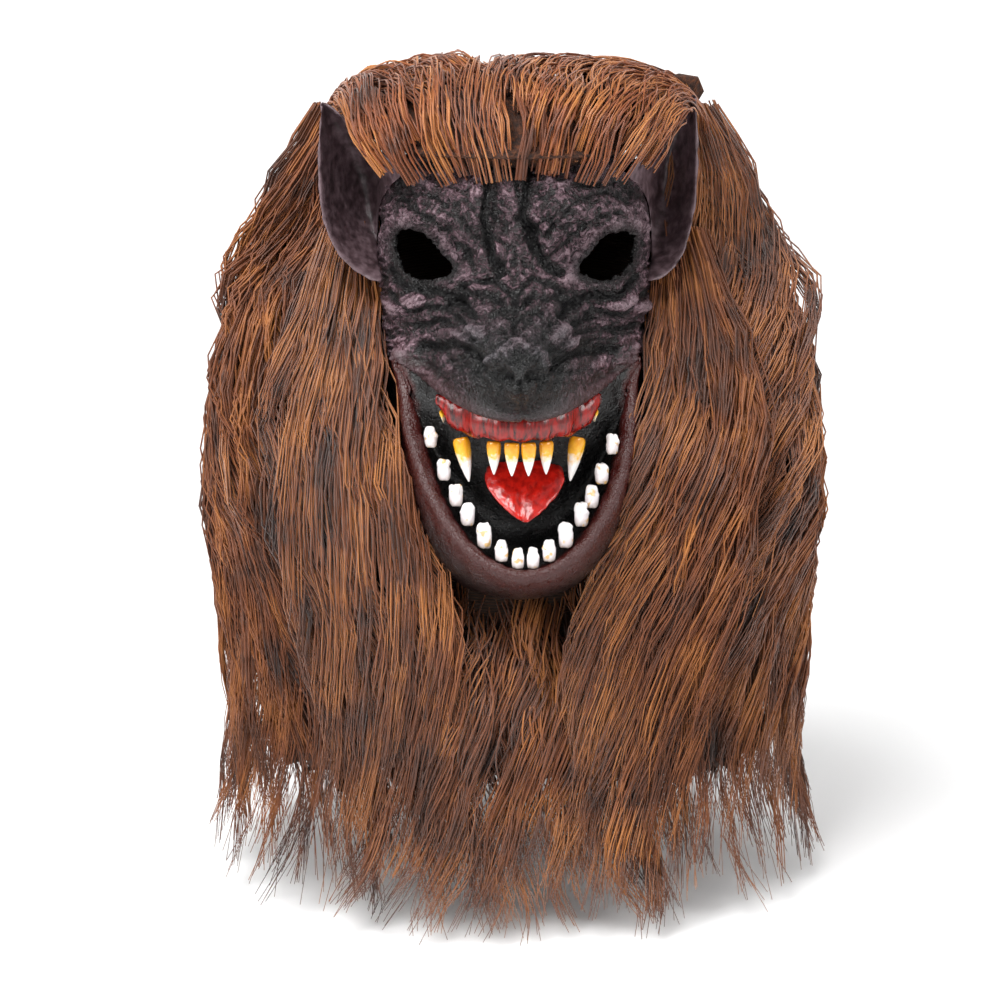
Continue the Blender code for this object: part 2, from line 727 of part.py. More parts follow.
def build_ear(name, side, turn_back, tip_rise, material, tree):
    rows = ear_rows(side, turn_back, tip_rise)
    count, columns = rows.shape[:2]
    along = np.gradient(rows, axis=0)
    across = np.gradient(rows, axis=1)
    normal = np.cross(along, across)
    normal /= np.linalg.norm(normal, axis=2, keepdims=True) + 1e-9
    back = rows - normal * EAR_WALL * (1.0 if normal[2, 4, 1] < 0.0 else -1.0)
    front = push_clear(rows.reshape(-1, 3), tree, FUR_GAP)
    back = push_clear(back.reshape(-1, 3), tree, FUR_GAP)
    size = count * columns
    faces = grid_faces(count, columns, 0)
    faces += grid_faces(count, columns, size, flip=True)
    edge = [i for i in range(columns)]
    edge += [j * columns + columns - 1 for j in range(1, count)]
    edge += [size - 1 - i for i in range(1, columns)]
    edge += [j * columns for j in range(count - 2, 0, -1)]
    faces += bridge_faces(edge, [e + size for e in edge], wrap=True)
    return mesh_object(name, front + back, faces, material)


# Front face of the upper gum, and the way from it to the back of the mouth
def gum_line(share):
    x = GUM_HALF_WIDTH * share
    lip_x, lip_v = upper_lip(x / MOUTH_HALF_WIDTH)
    lip = face_point(angle_at(lip_x, lip_v), lip_v)
    back = head_point(angle_at(lip_x, lip_v), lip_v - EYE_DROP, FACE_OFFSET)[1]
    setback = np.minimum(GUM_SETBACK, back - lip[..., 1] - 1.4 * GUM_DEPTH)
    front = np.stack([lip_x, lip[..., 1] + setback], axis=-1)
    way = np.gradient(front, axis=0)
    way = np.stack([-way[:, 1], way[:, 0]], axis=-1)
    way /= np.linalg.norm(way, axis=1, keepdims=True)
    return front, way, lip_v


def gum_bottom(x):
    rise = (np.abs(x) - CANINE_ACROSS) / (GUM_HALF_WIDTH - CANINE_ACROSS)
    return -GUM_BOTTOM_DROP + GUM_END_RISE * np.clip(rise, 0.0, 1.2)


def build_gum(material, tree):
    share = np.sin(np.linspace(-1.0, 1.0, GUM_STEPS) * math.pi / 2.0)
    front, way, lip_v = gum_line(share)
    points = []
    for place, inward, s, edge in zip(front, way, share, lip_v):
        bottom = gum_bottom(GUM_HALF_WIDTH * s) - EYE_DROP
        rear = place + inward * GUM_DEPTH
        tops = []
        for spot in (place, rear):
            reach = ray_distance(tree, (*spot, bottom), (0.0, 0.0, 1.0))
            limit = edge - EYE_DROP - bottom
            tops.append(bottom + min(reach if reach else limit, limit + LIP_ROLL) - CURVED_GAP)
        bulge = place - inward * 0.12 * GUM_DEPTH
        points.append((*place, bottom))
        points.append((*bulge, 0.5 * (bottom + tops[0])))
        points.append((*place, tops[0]))
        points.append((*rear, tops[1]))
        points.append((*rear, bottom))
    faces = grid_faces(GUM_STEPS, 5, wrap=True)
    last = len(points) - 5
    faces += [tuple(range(5)), tuple(range(last + 4, last - 1, -1))]
    return mesh_object("upper_gum", points, faces, material)


# Tooth standing on its root: rings rise from the flat root to the tip
def tooth_mesh(name, width, depth, length, profile, material, bend=0.0):
    points = []
    for share, girth in profile:
        for k in range(TOOTH_SIDES):
            turn = 2.0 * math.pi * k / TOOTH_SIDES
            x = 0.5 * width * girth * signed_power(math.cos(turn), 0.8)
            y = 0.5 * depth * girth * signed_power(math.sin(turn), 0.8)
            points.append((x, y + bend * share * share, length * share))
    faces = grid_faces(len(profile), TOOTH_SIDES, wrap=True)
    top = len(points) - TOOTH_SIDES
    faces += [tuple(range(TOOTH_SIDES)), tuple(range(len(points) - 1, top - 1, -1))]
    return mesh_object(name, points, faces, material)


# Place on the gum's front and the way back from it, at a sideways spot
def gum_place(spot):
    share = np.linspace(-1.0, 1.0, 2 * GUM_STEPS)
    front, way, _ = gum_line(share)
    spots = share * GUM_HALF_WIDTH
    place = np.array([np.interp(spot, spots, front[:, c]) for c in (0, 1)])
    inward = np.array([np.interp(spot, spots, way[:, c]) for c in (0, 1)])
    return place, inward


# Teeth that hang from the flat bottom of the gum
def build_upper_teeth(material, tree):
    places = []
    for name, side in (("left", -1.0), ("right", 1.0)):
        splay = side * CANINE_SPLAY
        spot = side * CANINE_ACROSS
        places.append(("upper_canine_" + name, spot, CANINE_RADIUS, CANINE_LENGTH, splay))
    for k in range(4):
        spot = (k - 1.5) * INCISOR_PITCH
        places.append(("upper_incisor_%d" % (k + 1), spot, INCISOR_RADIUS, INCISOR_LENGTH, 0.0))
    for name, spot, radius, length, splay in places:
        place, inward = gum_place(spot)
        centre = place + inward * 0.5 * GUM_DEPTH
        tooth = tooth_mesh(name, 2.0 * radius, 1.5 * radius, length, FANG_PROFILE, material)
        tooth.location = (*centre, -GUM_BOTTOM_DROP - EYE_DROP - 2.0 * FLAT_GAP)
        turn = math.atan2(-inward[0], inward[1])
        tooth.rotation_euler = (math.pi, math.radians(splay), turn)
        tooth.location[2] -= abs(math.sin(math.radians(splay))) * radius
        seat(tooth, tree, (0.0, 0.0, 1.0), 2.0 * FLAT_GAP)


# Row of small side teeth under the rising end of the gum
def build_side_teeth(name, side, material):
    start = CANINE_ACROSS + CANINE_RADIUS * 1.5
    spots = np.linspace(start, GUM_HALF_WIDTH * 0.98, 2 * SIDE_TOOTH_COUNT + 1) * side
    points = []
    for k, spot in enumerate(spots):
        place, inward = gum_place(spot)
        top = gum_bottom(spot) - EYE_DROP - CURVED_GAP
        length = SIDE_TOOTH_LENGTH * (1.0 if k % 2 else 0.45) * (1.0 - 0.05 * k)
        near = place + inward * 0.15 * GUM_DEPTH
        rear = near + inward * SIDE_TOOTH_DEPTH
        middle = 0.5 * (near + rear)
        points += [(*near, top), (*rear, top), (*middle, top - length)]
    faces = grid_faces(len(spots), 3, wrap=True)
    last = len(points) - 3
    faces += [(0, 1, 2), (last + 2, last + 1, last)]
    return mesh_object(name, points, faces, material)


def build_lower_teeth(material, tree):
    for row_number, row in enumerate(LOWER_TEETH.values()):
        step = dict(zip(LOWER_TEETH_COLUMNS, row))
        for side in (-1.0, 1.0):
            number = 7 - row_number if side < 0.0 else 8 + row_number
            size = LOWER_TOOTH_LENGTH
            tooth = tooth_mesh("lower_tooth_%02d" % number, size * step["width"],
                               size * step["depth"], size * step["length"],
                               PEG_PROFILE, material)
            x = side * step["across"] * MOUTH_HALF_WIDTH + face_lean(-step["level"] * LOWER_LIP_DROP)
            y = -step["reach"] * LOWER_LIP_REACH
            tooth.location = (x, y, -EYE_DROP - step["level"] * LOWER_LIP_DROP)
            tooth.rotation_euler = (0.0, 0.0, side * math.radians(75.0) * step["across"])
            seat(tooth, tree, (0.0, 0.0, -1.0), CURVED_GAP)


def build_tongue(material, tree):
    lean = float(face_lean(-TONGUE_TIP_DROP))
    root = np.array([lean, -(HEAD_HALF_DEPTH + 4.0 * VINYL_WALL), -EYE_DROP - TONGUE_ROOT_DROP])
    tip = np.array([lean, -TONGUE_TIP_REACH, -EYE_DROP - TONGUE_TIP_DROP])
    points = []
    for row in TONGUE:
        step = dict(zip(TONGUE_COLUMNS, row))
        centre = root + (tip - root) * step["along"]
        centre[2] += 0.35 * TONGUE_THICKNESS * math.sin(math.pi * step["along"])
        for k in range(TONGUE_SIDES):
            turn = 2.0 * math.pi * k / TONGUE_SIDES
            x = TONGUE_HALF_WIDTH * step["half_width"] * math.cos(turn)
            z = 0.5 * TONGUE_THICKNESS * step["thickness"] * math.sin(turn)
            dip = 0.18 * TONGUE_THICKNESS * math.exp(-((math.cos(turn) / 0.3) ** 2))
            points.append((centre[0] + x, centre[1], centre[2] + z - dip * (math.sin(turn) > 0.5)))
    faces = grid_faces(len(TONGUE), TONGUE_SIDES, wrap=True)
    last = len(points) - TONGUE_SIDES
    faces += [tuple(range(TONGUE_SIDES)), tuple(range(len(points) - 1, last - 1, -1))]
    tongue = mesh_object("tongue", points, faces, material)
    seat(tongue, tree, (0.0, 1.0, 0.0), CURVED_GAP)
    return tongue


def lobed_radius(angle, side, front, back, power=2.2):
    turn = math.radians(angle)
    depth = front if math.cos(turn) > 0.0 else back
    across = (abs(math.sin(turn)) / side) ** power
    along = (abs(math.cos(turn)) / depth) ** power
    return (across + along) ** (-1.0 / power)


# Repeatable spread of values for the locks' lengths
def lock_spread(number):
    return 0.5 + 0.5 * math.sin(12.9898 * number + 4.1)


# Lower edge of the crown fur round the head, as a height
def crown_edge_height(angle):
    turn = abs((angle + 180.0) % 360.0 - 180.0)
    return -EYE_DROP * float(table_value(CROWN_EDGE, CROWN_EDGE_COLUMNS, "angle", "drop", turn))


# Reach of the crown's outer form along a way from the dome's middle: an
# ellipse in plan, squarer from the side
def crown_radius(way, depth):
    plan = math.hypot(way[0] / CROWN_HALF_WIDTH, way[1] / depth)
    rise = abs(way[2]) / (HAIR_RISE + CROWN_MIDDLE)
    return (plan**CROWN_SQUARENESS + rise**CROWN_SQUARENESS) ** (-1.0 / CROWN_SQUARENESS)


def crown_way(angle, tilt):
    turn = math.radians(angle)
    lean = math.radians(tilt)
    return np.array([math.sin(lean) * math.sin(turn), -math.sin(lean) * math.cos(turn), math.cos(lean)])


# Largest value of a function on a small grid round a place, so that flat
# faces between such places clear what bulges between them
def largest_near(measure, first, second, first_step, second_step):
    values = []
    for a in (-1.0, -0.5, 0.0, 0.5, 1.0):
        for b in (-1.0, -0.5, 0.0, 0.5, 1.0):
            value = measure(first + a * first_step, second + b * second_step)
            if value is not None:
                values.append(value)
    return max(values) if values else None


# Crown fur along one ray from the dome's middle: inner and outer points
def crown_ray(angle, tilt, tilt_step, tree, relief):
    middle = np.array([0.0, 0.0, -CROWN_MIDDLE])
    start = 2.0 * HAIR_HALF_WIDTH

    def skin_along(turn, lean):
        way = crown_way(turn, min(lean, tilt + 0.5 * tilt_step))
        hit = tree.ray_cast(Vector(middle + way * start), Vector(-way))
        return None if hit[0] is None else start - hit[3]

    way = crown_way(angle, tilt)
    depth = CROWN_FRONT_REACH if way[1] < 0.0 else CROWN_BACK_DEPTH
    skin = largest_near(skin_along, angle, tilt, 360.0 / CROWN_STEPS, tilt_step) + CURVED_GAP
    outer = max(crown_radius(way, depth) + relief, skin + TIP_THICKNESS)
    return middle + way * skin, middle + way * outer


# Tilt from the vertical at which the outer crown form is at a height
def crown_edge_tilt(angle):
    turn = math.radians(angle)
    height = crown_edge_height(angle)
    depth = CROWN_FRONT_REACH if math.cos(turn) > 0.0 else CROWN_BACK_DEPTH
    low, high = 5.0, 120.0
    for _ in range(30):
        tilt = 0.5 * (low + high)
        lean = math.radians(tilt)
        way = (math.sin(lean) * math.sin(turn), math.sin(lean) * math.cos(turn), math.cos(lean))
        z = -CROWN_MIDDLE + way[2] * crown_radius(way, depth)
        if z > height:
            low = tilt
        else:
            high = tilt
    return 0.5 * (low + high)


def build_crown_fur(material, tree):
    angles = np.linspace(0.0, 360.0, CROWN_STEPS, endpoint=False)
    outer = []
    inner = []
    for share in np.linspace(0.0, 1.0, CROWN_ROWS):
        outer_row = []
        inner_row = []
        for number, angle in enumerate(angles):
            relief = LOCK_RELIEF * (0.5 if number % 2 else -0.5) * math.sin(math.pi * 0.5 * share)
            edge = crown_edge_tilt(angle)
            near, far = crown_ray(angle, edge * share, edge / (CROWN_ROWS - 1), tree, relief)
            inner_row.append(near)
            outer_row.append(far)
        inner.append(inner_row)
        outer.append(outer_row)
    points, faces = dome_mesh(outer, inner)
    return mesh_object("crown_fur", points, faces, material)


# Inner radius of the hanging fur: on the mask above the hem, and open below
def fur_inner_radius(tree, angle, z, angle_step):
    def skin_at(turn, height):
        return skin_radius(tree, turn, max(height, -HOOD_DROP + FUR_GAP))

    skin = largest_near(skin_at, angle, z, angle_step, HAIR_DROP / (2.0 * len(MANE)))
    return skin + CURVED_GAP + float(FUR_FLARE * smooth_step(HOOD_DROP, HAIR_DROP, -z))


# One piece of hanging fur between two edges, each an angle that may change
# with the level and from the head to the outer form
def build_mane(name, first, last, locks, top_level, material, tree):
    columns = 2 * locks + 1
    rows = [dict(zip(MANE_COLUMNS, row)) for row in MANE if row[0] >= top_level]
    inner = []
    outer = []
    for step in rows:
        fall = (step["level"] - top_level) / (1.0 - top_level)
        tip_row = step["level"] == 1.0
        inner_row = []
        outer_row = []
        for i in range(columns):
            ridge = i % 2
            share = i / (columns - 1)
            angle_in = first(step, "in") + (last(step, "in") - first(step, "in")) * share
            angle_out = first(step, "out") + (last(step, "out") - first(step, "out")) * share
            notch = LOCK_NOTCH * (0.6 * lock_spread(angle_out) if ridge else 1.0)
            start = fur_top(angle_out, top_level, step["side"] * HAIR_HALF_WIDTH)
            z = start + (notch - HAIR_DROP - start) * fall
            sway = LOCK_SWAY * math.sin(2.0 * math.pi * z / LOCK_WAVE) * fall
            relief = LOCK_RELIEF * (1.0 if ridge else -1.0) * min(1.0, 2.0 * fall + 0.3)
            far = relief + lobed_radius(angle_out, step["side"] * HAIR_HALF_WIDTH,
                                        step["front"] * HAIR_FRONT_REACH,
                                        step["back"] * HAIR_BACK_DEPTH)
            step_angle = abs(last(step, "in") - first(step, "in")) / (columns - 1)
            near = far - TIP_THICKNESS if tip_row else fur_inner_radius(tree, angle_in, z, step_angle)
            angle_near = angle_out + sway if tip_row else angle_in
            far = max(far, near + TIP_THICKNESS)
            under = min(start, fur_top(angle_near, top_level, near))
            z_near = under + (notch - HAIR_DROP - under) * fall
            inner_row.append(polar_point(angle_near, near, z_near))
            outer_row.append(polar_point(angle_out + sway, far, z))
        inner.append(inner_row)
        outer.append(outer_row)
    return shell_between(name, outer, inner, material)


# Edge of hanging fur along the front of the side fur, shifted by some degrees
def front_edge(side, shift):
    return lambda step, wall: side * (step["front_" + wall] + shift)


def back_edge(angle):
    return lambda step, wall: angle


def polar_point(angle, radius, z):
    turn = math.radians(angle)
    return (radius * math.sin(turn), -radius * math.cos(turn), z)


# Height of the top of hanging fur: under the crown fur's edge, which runs in
# along a ray, or under the chin
def fur_top(angle, top_level, radius):
    if top_level >= NECK_FUR_LEVEL:
        return -NECK_FUR_TOP
    tilt = math.radians(crown_edge_tilt(angle))
    return -CROWN_MIDDLE + radius / math.tan(tilt) - 0.5 * FACE_LAP


# Closed body between an outer and an inner grid of the same size
def shell_between(name, outer, inner, material):
    count = len(outer)
    columns = len(outer[0])
    size = count * columns
    points = [p for row in outer for p in row] + [p for row in inner for p in row]
    faces = grid_faces(count, columns, 0)
    faces += grid_faces(count, columns, size, flip=True)
    edge = [i for i in range(columns)]
    edge += [j * columns + columns - 1 for j in range(1, count)]
    edge += [size - 1 - i for i in range(1, columns)]
    edge += [j * columns for j in range(count - 2, 0, -1)]
    faces += bridge_faces(edge, [e + size for e in edge], wrap=True)
    return mesh_object(name, points, faces, material)


# Three side pieces of hanging fur and the one under the chin
def build_hanging_fur(material, tree):
    seam = BACK_SEAM_ANGLE
    half = SEAM_ANGLE
    chin = -3.0 * SEAM_ANGLE
    places = {
        "mane_left": (front_edge(-1.0, half), back_edge(half - seam), SIDE_LOCKS, 0.0),
        "mane_right": (front_edge(1.0, half), back_edge(seam - half), SIDE_LOCKS, 0.0),
        "mane_back": (back_edge(seam + half), back_edge(360.0 - seam - half), BACK_LOCKS, 0.0),
        "neck_fur": (front_edge(-1.0, chin), front_edge(1.0, chin), NECK_LOCKS, NECK_FUR_LEVEL),
    }
    for name, (first, last, locks, top_level) in places.items():
        build_mane(name, first, last, locks, top_level, material, tree)


def main():
    clear_scene()
    vinyl = make_material("vinyl", (0.075, 0.045, 0.042), 0.45)
    cloth = make_material("cloth", (0.035, 0.022, 0.016), 0.9)
    flesh = make_material("flesh", (0.50, 0.020, 0.012), 0.25)
    enamel = make_material("enamel", (0.82, 0.78, 0.72), 0.3)
    fur = make_material("fur", (0.22, 0.075, 0.022), 0.7)
    shell = build_face(vinyl)
    hood = build_hood(cloth)
    tree = surface_tree(shell, hood)
    left_ear = build_ear("left_ear", -1.0, 0.0, EAR_TIP_RISE, vinyl, tree)
    right_rise = EAR_TIP_RISE + RIGHT_EAR_LIFT
    right_ear = build_ear("right_ear", 1.0, RIGHT_EAR_TURN, right_rise, vinyl, tree)
    gum = build_gum(flesh, tree)
    build_upper_teeth(enamel, surface_tree(gum))
    build_side_teeth("upper_side_teeth_left", -1.0, enamel)
    build_side_teeth("upper_side_teeth_right", 1.0, enamel)
    build_lower_teeth(enamel, tree)
    build_tongue(flesh, tree)
    carriers = surface_tree(shell, hood, left_ear, right_ear)
    build_crown_fur(fur, carriers)
    build_hanging_fur(fur, carriers)
    mask_seat = bpy.data.objects.new("mask_seat", None)
    for piece in bpy.data.objects:
        if piece.type == "MESH":
            piece.parent = mask_seat
    bpy.context.collection.objects.link(mask_seat)


main()
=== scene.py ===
import math

import bmesh
import bpy
import numpy as np
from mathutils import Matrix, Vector


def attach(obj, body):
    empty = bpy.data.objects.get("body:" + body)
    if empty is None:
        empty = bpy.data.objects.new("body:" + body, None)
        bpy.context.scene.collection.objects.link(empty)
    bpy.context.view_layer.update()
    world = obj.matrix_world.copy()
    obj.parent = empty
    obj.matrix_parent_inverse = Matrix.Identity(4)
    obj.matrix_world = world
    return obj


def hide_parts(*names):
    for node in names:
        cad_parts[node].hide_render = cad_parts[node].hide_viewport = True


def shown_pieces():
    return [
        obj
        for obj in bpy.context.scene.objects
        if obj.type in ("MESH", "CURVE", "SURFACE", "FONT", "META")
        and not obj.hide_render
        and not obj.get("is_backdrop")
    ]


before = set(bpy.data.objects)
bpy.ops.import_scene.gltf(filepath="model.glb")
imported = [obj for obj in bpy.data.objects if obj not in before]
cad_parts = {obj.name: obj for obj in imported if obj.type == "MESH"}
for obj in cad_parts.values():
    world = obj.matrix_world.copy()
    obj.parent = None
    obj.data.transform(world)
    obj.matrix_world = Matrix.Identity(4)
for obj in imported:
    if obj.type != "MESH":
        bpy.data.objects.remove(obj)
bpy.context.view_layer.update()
print("frame loaded")

# lengths in metres; v is the height over the eye line, across is +X in front view
head = {"halfWidth": 0.080, "halfDepth": 0.100, "crownRise": 0.080, "squareness": 2.3,
        "neckStart": 0.150, "neckEnd": 0.260, "neckSideInset": 0.006, "neckFrontInset": 0.014,
        "faceOffset": 0.0048, "eyeDrop": 0.084}


# colour and node helpers ------------------------------------------------------
def linear(hexColour, alpha=1.0):
    values = [int(hexColour[i:i + 2], 16) / 255.0 for i in (1, 3, 5)]
    return tuple(v / 12.92 if v <= 0.04045 else ((v + 0.055) / 1.055) ** 2.4 for v in values) + (alpha,)


def newMaterial(name):
    made = bpy.data.materials.new(name)
    made.use_nodes = True
    return made, made.node_tree, made.node_tree.nodes["Principled BSDF"]


# adds a node, sets what is named and links or fills its inputs: i0, i1 and i2 by
# number, the rest by name, and a node given as a value stands for its first output
def addNode(tree, kind, settings=None, **inputs):
    whole = kind.startswith(("Geometry", "NodeGroup"))
    node = tree.nodes.new(kind if whole else "ShaderNode" + kind)
    for key, value in (settings or {}).items():
        setattr(node, key, value)
    for key, value in inputs.items():
        socket = node.inputs[int(key[1:]) if key in ("i0", "i1", "i2") else key.replace("_", " ")]
        if isinstance(value, bpy.types.Node):
            value = value.outputs[0]
        if isinstance(value, bpy.types.NodeSocket):
            tree.links.new(value, socket)
        else:
            socket.default_value = value
    return node


multiplyAdd = {"operation": "MULTIPLY_ADD"}
clampedAdd = {"operation": "ADD", "use_clamp": True}
smoothMap = {"interpolation_type": "SMOOTHSTEP"}
colourMix = {"data_type": "RGBA"}


def setRamp(node, stops):
    ramp = node.color_ramp
    while len(ramp.elements) < len(stops):
        ramp.elements.new(0.5)
    for element, (place, colour) in zip(ramp.elements, stops):
        element.position = place
        element.color = colour if isinstance(colour, tuple) else linear(colour)


# shape helpers ----------------------------------------------------------------
def smoothStep(start, end, value):
    share = np.clip((value - start) / (end - start), 0.0, 1.0)
    return share * share * (3.0 - 2.0 * share)


def signedPower(value, power):
    return np.sign(value) * np.abs(value) ** power


def headSection(z, offset):
    rise = head["crownRise"] + offset
    lift = np.clip((np.asarray(z, float) + head["crownRise"]) / rise, 0.0, 1.0)
    dome = (1.0 - lift ** head["squareness"]) ** (1.0 / head["squareness"])
    neck = smoothStep(head["neckStart"], head["neckEnd"], -np.asarray(z, float))
    return ((head["halfWidth"] + offset - head["neckSideInset"] * neck) * dome,
            (head["halfDepth"] + offset - head["neckFrontInset"] * neck) * dome)


def headPoint(angle, z, offset):
    width, depth = headSection(z, offset)
    power = 2.0 / head["squareness"]
    turn = np.radians(angle)
    return width * signedPower(np.sin(turn), power), -depth * signedPower(np.cos(turn), power)


def angleAt(x, v):
    width = headSection(v - head["eyeDrop"], head["faceOffset"])[0]
    return np.degrees(np.arcsin(signedPower(np.clip(x / width, -1.0, 1.0), head["squareness"] / 2.0)))


# repeatable smooth noise in the plane, about -1 to 1
def planeNoise(x, y, seed=0):
    xi, yi = np.floor(x).astype(np.int64), np.floor(y).astype(np.int64)
    fx, fy = x - xi, y - yi
    fx, fy = fx * fx * (3.0 - 2.0 * fx), fy * fy * (3.0 - 2.0 * fy)

    def corner(a, b):
        n = (a * 374761393 + b * 668265263 + seed * 974634777) & 0x7FFFFFFF
        n = ((n ^ (n >> 13)) * 1274126177) & 0x7FFFFFFF
        return (n ^ (n >> 16)) / 1073741823.5 - 1.0

    low = corner(xi, yi) * (1.0 - fx) + corner(xi + 1, yi) * fx
    high = corner(xi, yi + 1) * (1.0 - fx) + corner(xi + 1, yi + 1) * fx
    return low * (1.0 - fy) + high * fy


# distance from points in the plane to a line of points
def lineDistance(x, y, line):
    best = np.full(np.shape(x), 1e9)
    for (ax, ay), (bx, by) in zip(line[:-1], line[1:]):
        dx, dy = bx - ax, by - ay
        t = np.clip(((x - ax) * dx + (y - ay) * dy) / (dx * dx + dy * dy), 0.0, 1.0)
        best = np.minimum(best, np.hypot(x - ax - t * dx, y - ay - t * dy))
    return best


def meshObject(name, points, faces, attributes=None, smooth=True):
    mesh = bpy.data.meshes.new(name)
    mesh.from_pydata([tuple(map(float, p)) for p in points], [], faces)
    for key, values in (attributes or {}).items():
        mesh.attributes.new(key, "FLOAT", "POINT").data.foreach_set("value", np.asarray(values, np.float32))
    if smooth:
        mesh.shade_smooth()
    made = bpy.data.objects.new(name, mesh)
    bpy.context.collection.objects.link(made)
    return made


# evaluated modifiers become the plain mesh
def bakeModifiers(made):
    bpy.context.view_layer.update()
    graph = bpy.context.evaluated_depsgraph_get()
    mesh = bpy.data.meshes.new_from_object(made.evaluated_get(graph), depsgraph=graph)
    made.modifiers.clear()
    made.data = mesh
    made.data.name = made.name
    return made


def finishPiece(piece, material, slot, *nodes):
    piece.data.materials.clear()
    piece.data.materials.append(material)
    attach(piece, "root")
    if nodes:
        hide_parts(*nodes)
    print("piece", piece.name, len(piece.data.polygons), "faces")
    return piece


# CAD node copied with its loose triangles merged
def nodeCopy(node, name):
    work = bmesh.new()
    work.from_mesh(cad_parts[node].data)
    bmesh.ops.remove_doubles(work, verts=work.verts, dist=1e-5)
    mesh = bpy.data.meshes.new(name)
    work.to_mesh(mesh)
    work.free()
    made = bpy.data.objects.new(name, mesh)
    bpy.context.collection.objects.link(made)
    return made


# moulded face -------------------------------------------------------------------
face = {
    "top": 0.064, "rimAngle": 80.0, "earRimAngle": 100.0, "earRimUp": 0.020, "earRimTall": 0.045,
    "foreheadAngle": 84.0, "muzzleDrop": 0.088, "muzzleReach": 0.074, "muzzleRoundness": 1.25,
    "mouthHalfWidth": 0.072, "cornerDrop": 0.062, "lipPower": 2.2, "lowerHalfWidth": 0.070,
    "lowerStart": 0.070, "lowerDrop": 0.177, "lowerReach": 0.148, "lowerSquareness": 1.9,
    "lipRoll": 0.005, "chinRimDrop": 0.205, "jawRimDrop": 0.080, "jawFullness": 0.78, "chinShift": 0.006,
    "eyeAcross": 0.054, "eyeHalfWidth": 0.020, "eyeHalfHeight": 0.017, "eyeUp": 0.002,
    "browRise": 0.028, "browLift": 0.010, "noseDrop": 0.058, "noseHalfWidth": 0.016,
    "noseHalfHeight": 0.019, "noseLift": 0.021, "fadeStart": 0.78, "fadeEnd": 0.96, "wall": 0.002,
    "lipSteps": 176, "sideSteps": 30, "upperRows": 118, "jawRows": 38, "mouthRows": 34,
}
# level as a share of muzzleDrop, then shares of muzzleReach and mouthHalfWidth
muzzleTable = np.array(((-0.40, 0.00, 0.28), (0.00, 0.05, 0.37), (0.17, 0.19, 0.45), (0.29, 0.42, 0.53),
                        (0.40, 0.61, 0.61), (0.52, 0.72, 0.69), (0.68, 0.77, 0.78), (0.86, 0.73, 0.84),
                        (1.00, 0.69, 0.87)))
# across, up, wide, tall, lift
faceForms = ((0.56, 1.00, 0.37, 0.55, 1.0), (1.15, 0.90, 0.33, 0.36, 0.8), (0.98, 0.05, 0.48, 0.72, -1.4),
             (1.20, -0.86, 0.33, 0.50, 0.6), (0.20, 0.95, 0.09, 0.75, -0.5), (1.28, -2.20, 0.22, 0.42, 0.5),
             (0.00, 1.75, 1.10, 0.50, 0.5))
# lower, across, rise, depth from the upper lip round to the lower lip
mouthTable = np.array(((0, 0.98, 0.6, 0.14), (0, 0.96, 0.6, 0.55), (0, 0.92, -1.0, 0.96),
                       (0.5, 0.88, 0.0, 1.00), (1, 0.86, 2.4, 0.96), (1, 0.88, 0.6, 0.52), (1, 0.92, -0.6, 0.20)))
eyeOutline = np.array(((-1.00, -0.45), (-0.62, 0.00), (-0.28, 0.55), (0.08, 0.86), (0.62, 0.96), (1.00, 0.45),
                       (0.92, -0.45), (0.35, -0.92), (-0.35, -0.88)))


def faceLean(v):
    return face["chinShift"] * smoothStep(0.0, face["lowerDrop"], -v)


def faceLift(x, v, angle):
    across = x - faceLean(v)
    level = -v / face["muzzleDrop"]
    # the table read smoothly, so that no crease shows at its rows
    spread = np.linspace(-0.07, 0.07, 7)
    reach = sum(np.interp(level + s, muzzleTable[:, 0], muzzleTable[:, 1]) for s in spread) / 7.0
    half = sum(np.interp(level + s, muzzleTable[:, 0], muzzleTable[:, 2]) for s in spread) / 7.0
    share = np.clip(1.0 - (across / (half * face["mouthHalfWidth"])) ** 2, 0.0, 1.0)
    lift = reach * face["muzzleReach"] * share ** face["muzzleRoundness"]
    nose = (across / face["noseHalfWidth"]) ** 2 + ((v + face["noseDrop"]) / face["noseHalfHeight"]) ** 2
    lift = lift + face["noseLift"] * np.exp(-nose ** 1.5)
    for side, up, wide, tall, height in faceForms:
        a = (np.abs(across) - side * face["eyeAcross"]) / (wide * face["eyeAcross"])
        b = (v - up * face["browRise"]) / (tall * face["browRise"])
        lift = lift + height * face["browLift"] * np.exp(-a ** 2 - b ** 2)
    edge = 1.0 - smoothStep(face["fadeStart"], face["fadeEnd"], v / face["top"])
    rim = 1.0 - smoothStep(face["fadeStart"], face["fadeEnd"], np.abs(angle) / face["rimAngle"])
    return lift * edge * rim


def facePoint(angle, v):
    z = v - head["eyeDrop"]
    x, y = headPoint(angle, z, head["faceOffset"])
    return np.stack([x, y - faceLift(x, v, angle), np.broadcast_to(z, np.shape(x))], axis=-1)


def rimAngle(v):
    ear = np.exp(-(((v - face["earRimUp"]) / face["earRimTall"]) ** 4))
    return face["rimAngle"] + (face["earRimAngle"] - face["rimAngle"]) * ear


def upperLip(share):
    drop = face["muzzleDrop"] - face["cornerDrop"]
    v = -face["muzzleDrop"] + drop * np.abs(share) ** face["lipPower"]
    return face["mouthHalfWidth"] * share + faceLean(v), v


